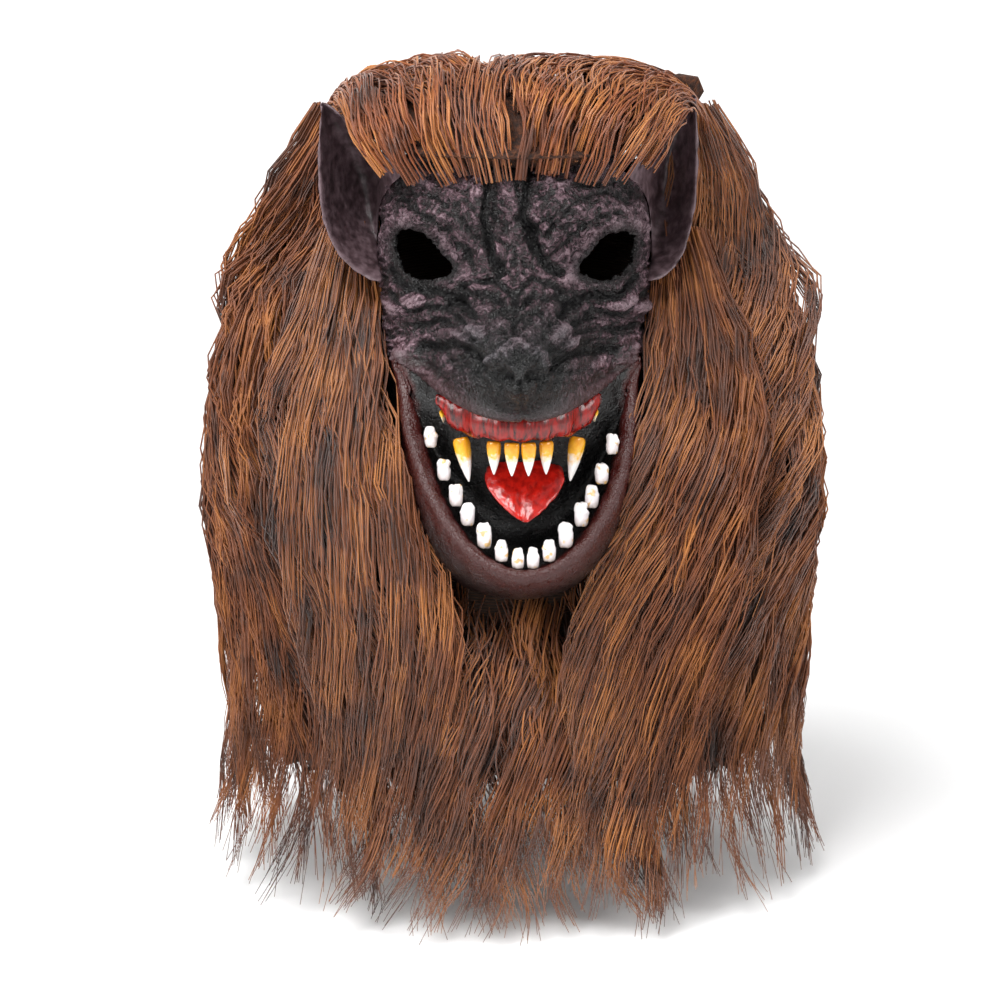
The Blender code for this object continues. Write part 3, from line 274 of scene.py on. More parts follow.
def lowerLip(share):
    turn = share * math.pi / 2.0
    power = 2.0 / face["lowerSquareness"]
    v = -face["lowerStart"] - (face["lowerDrop"] - face["lowerStart"]) * np.abs(np.cos(turn)) ** power
    x = face["lowerHalfWidth"] * signedPower(np.sin(turn), power) + faceLean(v)
    cornerX, cornerV = upperLip(np.sign(share) * np.ones_like(v))
    corner = facePoint(angleAt(cornerX, cornerV), cornerV)
    reach = -corner[..., 1]
    fall = (cornerV - v) / (face["lowerDrop"] - face["cornerDrop"])
    point = np.stack([x, -(reach + (face["lowerReach"] - reach) * fall), v - head["eyeDrop"]], axis=-1)
    close = smoothStep(0.88, 1.0, np.abs(share))[..., None]
    return point * (1.0 - close) + corner * close


def upperGrid(lip, side):
    lipX, lipV = upperLip(lip)
    lipAngle = angleAt(lipX, lipV)
    lineV = -face["cornerDrop"] - 0.25 * face["lipRoll"] * side
    left = lipAngle[0] + (-rimAngle(lineV) - lipAngle[0]) * side
    right = lipAngle[-1] + (rimAngle(lineV) - lipAngle[-1]) * side
    lowAngle = np.concatenate([left[::-1], lipAngle, right])
    lowV = np.concatenate([lineV[::-1], lipV, lineV])
    spread = np.linspace(-1.0, 1.0, len(lowAngle))
    highV = face["top"] - 0.12 * face["top"] * spread ** 2
    grid = []
    for share in np.linspace(0.0, 1.0, face["upperRows"] + 1):
        share = 0.75 * share + 0.25 * share * share  # closer rows on the muzzle
        v = lowV + (highV - lowV) * share
        straight = lowAngle + (face["foreheadAngle"] * spread - lowAngle) * share
        widen = 1.0 + (rimAngle(v) / face["rimAngle"] - 1.0) * np.abs(spread) ** 3
        grid.append(facePoint(straight * widen, v))
    return np.array(grid)


def jawGrid(lip, side, cheekRow):
    top = np.concatenate([cheekRow[:len(side)], lowerLip(lip), cheekRow[-len(side):]])
    count = len(top)
    around = np.linspace(-1.0, 1.0, count)
    v = -face["chinRimDrop"] + (face["chinRimDrop"] - face["jawRimDrop"]) * np.abs(around) ** face["lipPower"]
    x, y = headPoint(face["rimAngle"] * around, v - head["eyeDrop"], head["faceOffset"])
    rim = np.stack([x, y, v - head["eyeDrop"]], axis=-1)
    middle = top.copy()
    inside = slice(len(side), count - len(side))
    middle[:, 2] = top[:, 2] + face["jawFullness"] * (rim[:, 2] - top[:, 2])
    middle[inside, 0] += 1.6 * face["lipRoll"] * np.sin(around * math.pi / 2.0)[inside]
    weight = np.zeros(count)
    weight[inside] = 1.0
    ease = np.ones(15) / 15.0
    weight = np.convolve(np.pad(weight, 7, mode="edge"), ease, mode="valid")
    plain = 0.5 * (top + rim)
    middle = plain + (middle - plain) * weight[:, None]
    grid = []
    for share in np.linspace(0.0, 1.0, face["jawRows"] + 1) ** 1.2:
        low = 1.0 - share
        grid.append(low * low * top + 2.0 * low * share * middle + share * share * rim)
    return np.array(grid)


def mouthGrid(lip, upper):
    lower = lowerLip(lip)
    roll = face["lipRoll"]
    gape = np.clip((upper[:, 2] - lower[:, 2]) / (8.0 * roll), 0.0, 1.0)
    topZ = upper[:, 2].max()
    rows = [upper]
    for low, across, rise, depth in mouthTable:
        edge = upper + (lower - upper) * low
        place = edge.copy()
        place[:, 0] = edge[:, 0] * (1.0 + (across - 1.0) * gape)
        turn = angleAt(place[:, 0], place[:, 2] + head["eyeDrop"])
        back = headPoint(turn, place[:, 2], head["faceOffset"])[1]
        room = np.clip((back - edge[:, 1]) / (8.0 * roll), 0.0, 1.0)
        central = np.clip((topZ - edge[:, 2]) / (topZ - lower[:, 2].min()), 0.0, 1.0) if low == 1 else 1.0
        place[:, 2] += rise * roll * gape * room * central
        place[:, 1] += (back - place[:, 1]) * depth * gape
        rows.append(place)
    rows.append(lower)
    return smoothRows(np.array(rows), face["mouthRows"] + 1)


# rows read off a smooth curve through the given rows
def smoothRows(rows, count):
    keys = np.concatenate([[0.0], np.cumsum(np.linalg.norm(np.diff(rows, axis=0), axis=2).mean(axis=1))])
    at = np.linspace(0.0, keys[-1], count)
    slope = np.gradient(rows, keys, axis=0)
    result = []
    for t in at:
        k = min(int(np.searchsorted(keys, t, side="right")) - 1, len(keys) - 2)
        span = keys[k + 1] - keys[k]
        s = (t - keys[k]) / span
        result.append((2 * s ** 3 - 3 * s ** 2 + 1) * rows[k] + (s ** 3 - 2 * s ** 2 + s) * span * slope[k]
                      + (-2 * s ** 3 + 3 * s ** 2) * rows[k + 1] + (s ** 3 - s ** 2) * span * slope[k + 1])
    result[0], result[-1] = rows[0], rows[-1]
    return np.array(result)


# carved lines of the brow, muzzle and nose in millimetres: points, width, depth
carving = {
    "frown": [
        ([(-17, 60), (-16, 44), (-18, 28), (-17, 12), (-14, 2), (-9, -4)], 2.4, -3.4),
        ([(7, 60), (7, 44), (6, 30), (9, 16), (13, 6), (19, -3), (27, -8)], 2.4, -3.4),
        ([(-12, 50), (-11, 36), (-12, 22)], 1.3, -1.0), ([(1, 46), (2, 32), (1, 18)], 1.3, -1.0),
        ([(-14, 30), (-5, 22), (4, 26)], 1.2, -0.9), ([(-13, 14), (-5, 10), (5, 12)], 1.2, -1.0),
    ],
    "browEdge": [
        ([(-28, -9), (-38, 3), (-50, 14), (-64, 22), (-76, 22)], 7.5, 1.0),
        ([(26, -13), (34, -4), (44, 9), (56, 17), (70, 21), (78, 14)], 7.5, 1.0),
        ([(-24, -2), (-34, 12), (-48, 24), (-62, 31)], 1.5, -1.3),
        ([(20, 2), (32, 14), (46, 25), (62, 29)], 1.5, -1.3),
        ([(-22, 14), (-30, 24), (-44, 36), (-58, 42)], 1.4, -1.1),
        ([(17, 16), (27, 27), (40, 37), (54, 41)], 1.4, -1.1),
        ([(-74, 40), (-66, 34), (-60, 38)], 1.4, -1.0), ([(76, 40), (68, 33), (62, 38)], 1.4, -1.0),
    ],
    "chevrons": [
        ([(-32, -16), (-22, -10), (-11, -9), (-1, -16), (9, -10), (20, -12), (28, -18)], 1.9, -2.2),
        ([(-40, -26), (-28, -19), (-14, -17), (-1, -25), (11, -18), (24, -20), (36, -27)], 1.7, -2.0),
        ([(-16, -27), (-8, -24), (-1, -31), (7, -25), (15, -28)], 1.4, -1.3),
        ([(-1, -12), (-1, -36)], 1.3, -1.3), ([(-11, -3), (-4, 1), (4, 1), (9, -3)], 1.3, -1.0),
        ([(-8, -6), (-3, -4), (-1, -9), (2, -4), (7, -6)], 1.1, -0.9),
    ],
    "underEye": [
        ([(-76, -10), (-66, -19), (-52, -17), (-40, -20), (-26, -28)], 2.2, -2.6),
        ([(74, -14), (64, -22), (50, -21), (38, -22), (26, -29)], 2.2, -2.6),
        ([(-78, -22), (-62, -31), (-46, -27), (-30, -34)], 1.8, -1.8),
        ([(80, -24), (66, -33), (48, -30), (34, -36)], 1.8, -1.8),
        ([(-70, -40), (-54, -39), (-40, -37), (-26, -40)], 1.6, -1.4),
        ([(74, -42), (58, -42), (42, -40), (28, -41)], 1.6, -1.4),
        ([(-76, -32), (-66, -26), (-56, -26)], 3.4, 1.8), ([(78, -33), (68, -27), (58, -28)], 3.4, 1.8),
    ],
    "muzzle": [
        ([(-58, -52), (-46, -51), (-36, -46), (-26, -48), (-20, -54)], 2.4, -2.4),
        ([(60, -55), (50, -53), (40, -49), (30, -51), (22, -56)], 2.4, -2.4),
        ([(-34, -42), (-27, -36), (-20, -38)], 3.6, 2.0), ([(34, -44), (27, -38), (21, -40)], 3.6, 2.0),
        ([(-24, -44), (-18, -40), (-16, -34)], 1.3, -1.2),
        ([(24, -46), (18, -42), (15, -36)], 1.3, -1.2),
        ([(-60, -62), (-48, -66), (-38, -74), (-30, -80)], 3.2, -0.9),
        ([(62, -64), (50, -68), (42, -74), (32, -80)], 3.2, -0.9),
    ],
    "nose": [
        ([(-13, -66), (-15, -60), (-11, -56), (-6, -58)], 2.8, -4.2),
        ([(14, -66), (16, -60), (12, -56), (7, -58)], 2.8, -4.2),
        ([(-13, -66), (-9, -72), (-5, -76)], 1.4, -2.2), ([(14, -66), (10, -72), (6, -76)], 1.4, -2.2),
        ([(0.5, -60), (0.5, -90)], 1.5, -2.4),
        ([(-17, -52), (-12, -44), (0, -41), (12, -44), (17, -52)], 2.2, 1.2),
        ([(-13, -50), (-8, -46), (0, -45), (8, -46), (13, -50)], 0.9, -0.7),
        ([(-10, -53), (-6, -50), (0, -49), (6, -50), (10, -53)], 0.9, -0.6),
        ([(-20, -48), (-23, -58), (-20, -68)], 2.0, -1.6),
        ([(21, -48), (24, -58), (21, -68)], 2.0, -1.6),
    ],
}


# height in millimetres that the carving adds to the upper face
def carvedHeight(x, v):
    mmX, mmV = (x - faceLean(v)) * 1000.0, v * 1000.0
    wobbleX = mmX + 1.6 * planeNoise(mmX / 9.0, mmV / 9.0, 11) + 0.6 * planeNoise(mmX / 3.0, mmV / 3.0, 12)
    wobbleV = mmV + 1.6 * planeNoise(mmX / 9.0, mmV / 9.0, 13) + 0.6 * planeNoise(mmX / 3.0, mmV / 3.0, 14)
    height = np.zeros(np.shape(x))
    for lines in carving.values():
        for line, width, depth in lines:
            height += depth * np.exp(-(lineDistance(wobbleX, wobbleV, line) / width) ** 2)
    # fine worm-like wrinkles that run round the brow lobes and along the muzzle
    flow = np.where(mmV > -6.0, np.hypot(mmX / 1.1 - np.sign(mmX) * 42.0, mmV - 6.0),
                    mmV * 1.7 + np.abs(mmX) * 0.55)
    cross = np.where(mmV > -6.0, np.arctan2(mmV - 6.0, mmX - np.sign(mmX) * 42.0) * 16.0, mmX * 0.55)
    bend = 1.3 * planeNoise(mmX / 7.0, mmV / 7.0, 21)
    worms = 1.0 - np.abs(planeNoise(flow / 3.2 + bend, cross / 7.0 + bend, 22)) * 2.2
    pits = planeNoise(mmX / 2.6, mmV / 2.6, 23)
    lumps = planeNoise(mmX / 6.5 + 4.0, mmV / 5.0, 24)
    smoothLip = smoothStep(-70.0, -56.0, mmV + 12.0 * (np.abs(mmX) / 60.0) ** 2)
    onNose = np.exp(-((mmX / 15.0) ** 4) - ((mmV + 60.0) / 13.0) ** 4)
    fine = 0.55 * worms + 0.8 * np.minimum(0.0, pits + 0.35) + 0.55 * lumps
    return 1.9 * height * (0.35 + 0.65 * smoothLip) + 2.1 * fine * smoothLip * (1.0 - 0.75 * onNose)


def faceNormals(points, faces):
    points = np.asarray(points)
    normal = np.zeros_like(points)
    for size in (3, 4):
        sided = np.array([f for f in faces if len(f) == size])
        if len(sided) == 0:
            continue
        a, b, c = points[sided[:, 0]], points[sided[:, 1]], points[sided[:, 2]]
        cross = np.cross(b - a, c - a) if size == 3 else np.cross(c - a, points[sided[:, 3]] - b)
        for k in range(size):
            np.add.at(normal, sided[:, k], cross)
    return normal / (np.linalg.norm(normal, axis=1, keepdims=True) + 1e-12)


def eyeRing(side):
    ring = np.array([(side * (face["eyeAcross"] + a * face["eyeHalfWidth"]),
                      u * face["eyeHalfHeight"] + face["eyeUp"])
                     for a, u in eyeOutline])
    # rounded by cutting corners three times
    for _ in range(3):
        after = np.roll(ring, -1, axis=0)
        ring = np.stack([0.75 * ring + 0.25 * after, 0.25 * ring + 0.75 * after], axis=1).reshape(-1, 2)
    return ring


def insideRing(x, v, ring):
    inside = np.zeros(np.shape(x), bool)
    for (ax, ay), (bx, by) in zip(ring, np.roll(ring, -1, axis=0)):
        crosses = (ay > v) != (by > v)
        with np.errstate(divide="ignore", invalid="ignore"):
            inside ^= crosses & (x < (bx - ax) * (v - ay) / (by - ay) + ax)
    return inside


def buildFaceSkin(material):
    lip = np.sin(np.linspace(-1.0, 1.0, face["lipSteps"] + 1) * math.pi / 2.0)
    lip = 0.5 * lip + 0.5 * np.linspace(-1.0, 1.0, face["lipSteps"] + 1)
    side = np.linspace(0.0, 1.0, face["sideSteps"] + 1)[1:]
    upper = upperGrid(lip, side)
    jaw = jawGrid(lip, side, upper[0])
    edge = slice(len(side), -len(side))
    mouth = mouthGrid(lip, upper[0][edge])
    # both lips are rounded by easing the rows beside them
    profile = np.concatenate([upper[14:0:-1, edge], mouth, jaw[1:15, edge]])
    turnRows = (14, 14 + len(mouth) - 1)
    index = np.arange(len(profile))
    near = np.exp(-((index - turnRows[0]) / 3.0) ** 2) + np.exp(-((index - turnRows[1]) / 3.0) ** 2)
    near = np.clip(near, 0.0, 1.0)[:, None, None] * smoothStep(0.0, 0.06, 1.0 - np.abs(lip))[None, :, None]
    near[0] = near[-1] = 0.0
    for _ in range(14):
        eased = profile.copy()
        eased[1:-1] = 0.25 * profile[:-2] + 0.5 * profile[1:-1] + 0.25 * profile[2:]
        profile = profile + (eased - profile) * near
    upper[1:15, edge] = profile[:14][::-1]
    upper[0, edge] = profile[14]
    mouth = profile[14:14 + len(mouth)]
    jaw[1:15, edge] = profile[-14:]
    jaw[0, edge] = mouth[-1]
    # one list of points, shared along the lips and the cheek line
    rows, columns = upper.shape[:2]
    upperId = np.arange(rows * columns).reshape(rows, columns)
    jawId = np.zeros(jaw.shape[:2], int)
    start = rows * columns
    points = [upper.reshape(-1, 3)]
    region = [np.zeros(start)]
    first, last = len(side), columns - len(side) - 1
    jawId[0, :first + 1] = upperId[0, :first + 1]
    jawId[0, last:] = upperId[0, last:]
    jawId[0, first + 1:last] = start + np.arange(last - first - 1)
    points.append(jaw[0, first + 1:last])
    region.append(np.ones(last - first - 1))
    start += last - first - 1
    jawId[1:] = start + np.arange(jaw[1:].shape[0] * columns).reshape(-1, columns)
    points.append(jaw[1:].reshape(-1, 3))
    region.append(np.ones(jawId[1:].size))
    start += jawId[1:].size
    mouthId = np.zeros(mouth.shape[:2], int)
    mouthId[0] = upperId[0, first:last + 1]
    mouthId[-1] = jawId[0, first:last + 1]
    mouthId[:, 0] = upperId[0, first]
    mouthId[:, -1] = upperId[0, last]
    inner = mouth[1:-1, 1:-1]
    mouthId[1:-1, 1:-1] = start + np.arange(inner.shape[0] * inner.shape[1]).reshape(inner.shape[:2])
    points.append(inner.reshape(-1, 3))
    region.append(np.full(inner.shape[0] * inner.shape[1], 2.0))
    points = np.concatenate(points)
    region = np.concatenate(region)
    faces = []
    for ids, flip in ((upperId, False), (jawId, True), (mouthId, True)):
        quads = np.stack([ids[:-1, :-1], ids[:-1, 1:], ids[1:, 1:], ids[1:, :-1]], axis=-1).reshape(-1, 4)
        for quad in (quads[:, ::-1] if flip else quads).tolist():
            kept = list(dict.fromkeys(quad))
            if len(kept) > 2:
                faces.append(tuple(kept))
    normal = faceNormals(points, faces)
    x, v = points[:, 0], points[:, 2] + head["eyeDrop"]
    # how far a point is from the lips, along the sheet
    lipUpper = upper[0, edge][::4]
    lipLower = jaw[0, edge][::4]
    nearUpper = np.min([np.linalg.norm(points - p, axis=1) for p in lipUpper], axis=0)
    nearLower = np.min([np.linalg.norm(points - p, axis=1) for p in lipLower], axis=0)
    nearLip = np.minimum(nearUpper, nearLower)
    mm = points * 1000.0
    jawSkin = 0.45 * planeNoise(mm[:, 0] / 4.0, mm[:, 2] / 9.0, 31)
    jawSkin = jawSkin + 0.3 * planeNoise(mm[:, 0] / 1.8, mm[:, 2] / 4.0, 32)
    mouthSkin = 0.7 * planeNoise(mm[:, 0] / 4.5, mm[:, 1] / 4.5 + mm[:, 2] / 5.0, 33)
    carved = carvedHeight(x, v)
    height = np.where(region == 0, carved, np.where(region == 1, jawSkin, mouthSkin))
    fade = 1.0 - smoothStep(face["fadeStart"], 1.0, v / face["top"])
    height = height * fade * smoothStep(0.0, 0.004, nearLip)
    roll = 1.7 * np.exp(-((nearUpper - 0.004) / 0.004) ** 2)
    roll = roll + 2.1 * np.exp(-((nearLower - 0.003) / 0.0045) ** 2)
    inMouth = region == 2
    height = height + np.where(inMouth, 0.6, 1.0) * roll * smoothStep(0.02, 0.10, 1.0 - np.abs(x) / 0.080)
    points = points + normal * (height * 0.001)[:, None]
    # eye holes
    gone = np.zeros(len(points), bool)
    for sideSign in (-1.0, 1.0):
        ring = eyeRing(sideSign)
        gone |= insideRing(x, v, ring) & (region == 0)
    keptFaces = [f for f in faces if not all(gone[i] for i in f)]
    inHole = sorted({i for f in keptFaces for i in f if gone[i]})
    for i in inHole:
        ring = eyeRing(math.copysign(1.0, x[i]))
        nearest = ring[np.argmin(np.hypot(ring[:, 0] - x[i], ring[:, 1] - v[i]))]
        points[i, 0] += nearest[0] - x[i]
        points[i, 2] += nearest[1] - v[i]
    used = np.unique(np.concatenate([np.array(f) for f in keptFaces]))
    remap = np.full(len(points), -1)
    remap[used] = np.arange(len(used))
    faces = [tuple(int(remap[i]) for i in f) for f in keptFaces]
    ringNear = np.min([np.hypot(x - px, v - pv) for s in (-1.0, 1.0) for px, pv in eyeRing(s)], axis=0)
    muzzleMask = np.exp(-((x / 0.040) ** 4) - ((v + 0.062) / 0.036) ** 4)
    attributes = {
        "relief": (height - 1.2)[used],
        "muzzle": muzzleMask[used],
        # black nose paint, centred below the nose's middle so it also paints shade on the underside
        "noseBlackAndShade": (0.92 * np.exp(-((x / 0.0175) ** 4) - ((v + 0.067) / 0.0125) ** 4) * (region == 0))[used],
        "upperLipNear": nearUpper[used] * 1000.0,
        "lowerLipNear": nearLower[used] * 1000.0,
        "region": region[used],
        "holeNear": np.where(region == 0, ringNear, 1.0)[used] * 1000.0,
    }
    skin = meshObject("faceSkin", points[used], faces, attributes)
    wall = skin.modifiers.new("wall", "SOLIDIFY")
    wall.thickness = face["wall"]
    wall.offset = -1.0
    bakeModifiers(skin)
    skin.data.shade_smooth()
    return finishPiece(skin, material, "vinyl", "face_shell")


# soft vinyl: satin, sprayed dark with lighter paint dragged over the high points, plus painted shade in the
# carved creases and painted highlight on the ridges
def vinylPaint():
    made, tree, shader = newMaterial("paintedSoftVinyl")
    read = {name: addNode(tree, "Attribute", {"attribute_name": name}).outputs["Fac"]
            for name in ("relief", "muzzle", "upperLipNear", "lowerLipNear", "region", "holeNear")}
    place = addNode(tree, "TexCoord").outputs["Object"]
    drag = addNode(tree, "TexNoise", Vector=place, Scale=420.0, Detail=4.0)  # 2 mm brush marks
    blotch = addNode(tree, "TexNoise", Vector=place, Scale=70.0, Detail=3.0)
    # wrinkles 4 mm apart
    worm = addNode(tree, "TexNoise", Vector=place, Scale=250.0, Detail=4.0, Distortion=1.6)
    wrinkle = addNode(tree, "Math", multiplyAdd, i0=worm, i1=9.0, i2=-4.5)
    marked = addNode(tree, "Math", multiplyAdd, i0=drag, i1=2.0, i2=wrinkle)
    # painted shade and highlight: the carved relief and the wrinkles darken the creases and lighten the ridges,
    # over the dry-brush marks
    paintAndShadeLevel = addNode(tree, "Math", {"operation": "ADD"}, i0=marked, i1=read["relief"])
    tone = addNode(tree, "MapRange", smoothMap, Value=paintAndShadeLevel,
                   From_Min=-2.6, From_Max=3.0)
    brow = addNode(tree, "ValToRGB", Fac=tone)
    setRamp(brow, [(0.0, "#070405"), (0.28, "#1f1215"), (0.5, "#3f2a31"), (0.75, "#664c55"),
                   (1.0, "#8f777f")])
    nose = addNode(tree, "ValToRGB", Fac=tone)
    setRamp(nose, [(0.0, "#020202"), (0.35, "#070708"), (0.6, "#141315"), (0.85, "#2c292d"),
                   (1.0, "#565155")])
    spread = addNode(tree, "Math", multiplyAdd, i0=blotch, i1=0.9, i2=-0.42)
    muzzle = addNode(tree, "Math", clampedAdd, i0=read["muzzle"], i1=spread)
    upper = addNode(tree, "Mix", colourMix, Factor=muzzle,
                    A=brow, B=nose)
    # red brown paint on the lips, black in the mouth
    lipBlend = addNode(tree, "MapRange", smoothMap, Value=read["upperLipNear"],
                       From_Min=3.0, From_Max=12.0, To_Min=0.75, To_Max=0.0)
    lipped = addNode(tree, "Mix", colourMix, Factor=lipBlend,
                     A=upper.outputs["Result"], B=linear("#2a1514"))
    lowLip = addNode(tree, "MapRange", smoothMap, Value=read["lowerLipNear"],
                     From_Min=5.0, From_Max=24.0)
    jawTone = addNode(tree, "ValToRGB", Fac=lowLip)
    setRamp(jawTone, [(0.0, "#3a0f0b"), (0.35, "#290c0a"), (1.0, "#150706")])
    isJaw = addNode(tree, "MapRange", Value=read["region"], From_Min=0.3, From_Max=0.7)
    outer = addNode(tree, "Mix", colourMix, Factor=isJaw,
                    A=lipped.outputs["Result"], B=jawTone)
    innerRed = addNode(tree, "MapRange", smoothMap, Value=read["lowerLipNear"],
                       From_Min=3.0, From_Max=10.0)
    inner = addNode(tree, "ValToRGB", Fac=innerRed)
    setRamp(inner, [(0.0, "#3c0e0b"), (0.4, "#380806"), (1.0, "#040303")])
    isMouth = addNode(tree, "MapRange", Value=read["region"], From_Min=1.3, From_Max=1.7)
    whole = addNode(tree, "Mix", colourMix, Factor=isMouth,
                    A=outer.outputs["Result"], B=inner)
    holeDark = addNode(tree, "MapRange", smoothMap, Value=read["holeNear"],
                       From_Min=0.0, From_Max=8.0, To_Min=0.95, To_Max=0.0)
    final = addNode(tree, "Mix", colourMix, Factor=holeDark,
                    A=whole.outputs["Result"], B=linear("#0b0909"))
    # black nose paint that also stands as painted shade on the nose's underside
    withNoseBlackAndShade = addNode(tree, "Mix", colourMix, Factor=addNode(
        tree, "Attribute", {"attribute_name": "noseBlackAndShade"}).outputs["Fac"],
        A=final.outputs["Result"], B=linear("#040404"))
    tree.links.new(withNoseBlackAndShade.outputs["Result"], shader.inputs["Base Color"])
    rough = addNode(tree, "MapRange", Value=drag, From_Min=0.3, From_Max=0.7, To_Min=0.22, To_Max=0.46)
    tree.links.new(rough.outputs[0], shader.inputs["Roughness"])
    grain = addNode(tree, "TexNoise", Vector=place, Scale=900.0, Detail=3.0)  # 1 mm skin grain
    creases = addNode(tree, "TexVoronoi", {"feature": "DISTANCE_TO_EDGE"}, Vector=place, Scale=330.0)
    shallow = addNode(tree, "Math", {"operation": "MINIMUM"}, i0=creases, i1=0.16)
    mixed = addNode(tree, "Math", multiplyAdd, i0=shallow, i1=2.0, i2=grain)
    carvedOnly = addNode(tree, "MapRange", Value=read["region"], From_Min=0.1, From_Max=0.6,
                         To_Min=1.0, To_Max=0.12)
    offLip = addNode(tree, "MapRange", smoothMap, Value=read["upperLipNear"],
                     From_Min=6.0, From_Max=26.0, To_Min=0.08)
    share = addNode(tree, "Math", {"operation": "MULTIPLY"}, i0=carvedOnly, i1=offLip)
    deep = addNode(tree, "Math", {"operation": "MULTIPLY"}, i0=share, i1=worm)
    folds = addNode(tree, "Bump", Strength=1.0, Distance=0.007, Height=deep)
    bump = addNode(tree, "Bump", Strength=0.6, Distance=0.0008, Height=mixed,
                   Normal=folds.outputs["Normal"])
    tree.links.new(bump.outputs["Normal"], shader.inputs["Normal"])
    shader.inputs["IOR"].default_value = 1.52
    shader.inputs["Specular IOR Level"].default_value = 0.5
    return made


skinVinyl = vinylPaint()
buildFaceSkin(skinVinyl)
print("face done")


# ears, gum, teeth, tongue and hood ------------------------------------------------
mouthParts = {"earRelief": 0.0012, "earScale": 0.006, "gumFold": 0.0009, "toothLevels": 2, "tongueLevels": 2}


def pushOut(piece, measure):
    work = bmesh.new()
    work.from_mesh(piece.data)
    bmesh.ops.recalc_face_normals(work, faces=work.faces)
    work.normal_update()
    moved = [(vert, vert.co + vert.normal * measure(vert.co)) for vert in work.verts]
    for vert, place in moved:
        vert.co = place
    work.to_mesh(piece.data)
    work.free()
    piece.data.shade_smooth()


def rounded(node, name, levels):
    piece = nodeCopy(node, name)
    soften = piece.modifiers.new("soften", "SUBSURF")
    soften.levels = soften.render_levels = levels
    return bakeModifiers(piece)


def noiseAt(place, size, seed):
    return float(planeNoise(np.array([(place[0] + 0.37 * place[1]) / size]),
                            np.array([(place[2] + 0.61 * place[1]) / size]), seed)[0])


# the same vinyl on the ears, toned by curvature: mauve dry-brush paint on the rims, painted shade near black in
# the cup
def earPaint():
    made, tree, shader = newMaterial("paintedEarVinyl")
    place = addNode(tree, "TexCoord").outputs["Object"]
    drag = addNode(tree, "TexNoise", Vector=place, Scale=190.0, Detail=5.0)
    point = addNode(tree, "NewGeometry").outputs["Pointiness"]
    # painted shade: concave places go dark, convex rims go light
    paintAndShadeLevel = addNode(tree, "Math", multiplyAdd, i0=point, i1=3.2, i2=-1.35)
    mixed = addNode(tree, "Math", clampedAdd, i0=paintAndShadeLevel, i1=drag)
    ramp = addNode(tree, "ValToRGB", Fac=mixed)
    setRamp(ramp, [(0.30, "#0e0b0c"), (0.50, "#2c2022"), (0.68, "#47363a"), (0.92, "#6a575c")])
    tree.links.new(ramp.outputs["Color"], shader.inputs["Base Color"])
    bump = addNode(tree, "Bump", Strength=0.7, Distance=0.0008, Height=drag)
    tree.links.new(bump.outputs["Normal"], shader.inputs["Normal"])
    shader.inputs["Roughness"].default_value = 0.42
    return made


earVinyl = earPaint()
for node, name in (("left_ear", "leftEarSkin"), ("right_ear", "rightEarSkin")):
    ear = rounded(node, name, 2)
    pushOut(ear, lambda p: mouthParts["earRelief"] * (noiseAt(p, mouthParts["earScale"], 41)
                                                      + 0.5 * noiseAt(p, 0.003, 42)) * 0.6)
    finishPiece(ear, earVinyl, "vinyl", node)


# glossy red lacquer over folded vinyl
def wetRed(name, deep, light, folds):
    made, tree, shader = newMaterial(name)
    place = addNode(tree, "TexCoord").outputs["Object"]
    stretch = addNode(tree, "Mapping", Vector=place)
    stretch.inputs["Scale"].default_value = (folds, folds, folds * 0.25)
    folded = addNode(tree, "TexNoise", Vector=stretch, Scale=1.0, Detail=3.0)
    ramp = addNode(tree, "ValToRGB", Fac=folded)
    setRamp(ramp, [(0.34, deep), (0.62, light)])
    tree.links.new(ramp.outputs["Color"], shader.inputs["Base Color"])
    bump = addNode(tree, "Bump", Strength=0.6, Distance=0.001, Height=folded)
    tree.links.new(bump.outputs["Normal"], shader.inputs["Normal"])
    shader.inputs["Roughness"].default_value = 0.26
    shader.inputs["Coat Weight"].default_value = 0.25
    shader.inputs["Coat Roughness"].default_value = 0.15
    return made


gum = rounded("upper_gum", "upperGumSkin", 1)
pushOut(gum, lambda p: mouthParts["gumFold"] * math.sin(p[0] / 0.0022))
finishPiece(gum, wetRed("glossyGumLacquer", "#350403", "#9c130b", 420.0), "flesh", "upper_gum")
tongue = rounded("tongue", "tongueSkin", mouthParts["tongueLevels"])
pushOut(tongue, lambda p: 0.0006 * noiseAt(p, 0.004, 51) - 0.0012 * math.exp(-((p[0] - 0.003) / 0.0018) ** 2))
finishPiece(tongue, wetRed("glossyTongueLacquer", "#8c0f0a", "#c21c12", 260.0), "flesh", "tongue")


# hard glossy enamel paint: yellow at the root, white at the tip
def toothEnamel(name, root, middle, tip, stained):
    made, tree, shader = newMaterial(name)
    along = addNode(tree, "Attribute", {"attribute_name": "along"}).outputs["Fac"]
    place = addNode(tree, "TexCoord").outputs["Object"]
    patch = addNode(tree, "TexNoise", Vector=place, Scale=330.0, Detail=2.0)
    shifted = addNode(tree, "Math", multiplyAdd, i0=patch, i1=0.5, i2=-0.25)
    level = addNode(tree, "Math", clampedAdd, i0=along, i1=shifted)
    ramp = addNode(tree, "ValToRGB", Fac=level)
    setRamp(ramp, [(0.0, root), (0.38, middle), (0.62, tip)])
    spots = addNode(tree, "TexNoise", Vector=place, Scale=240.0, Detail=1.0)
    spotShare = addNode(tree, "MapRange", Value=spots, From_Min=0.60, From_Max=0.70, To_Max=stained)
    colour = addNode(tree, "Mix", colourMix, Factor=spotShare,
                     A=ramp, B=linear("#d9a421"))
    tree.links.new(colour.outputs["Result"], shader.inputs["Base Color"])
    shader.inputs["Roughness"].default_value = 0.22
    shader.inputs["Coat Weight"].default_value = 0.4
    return made


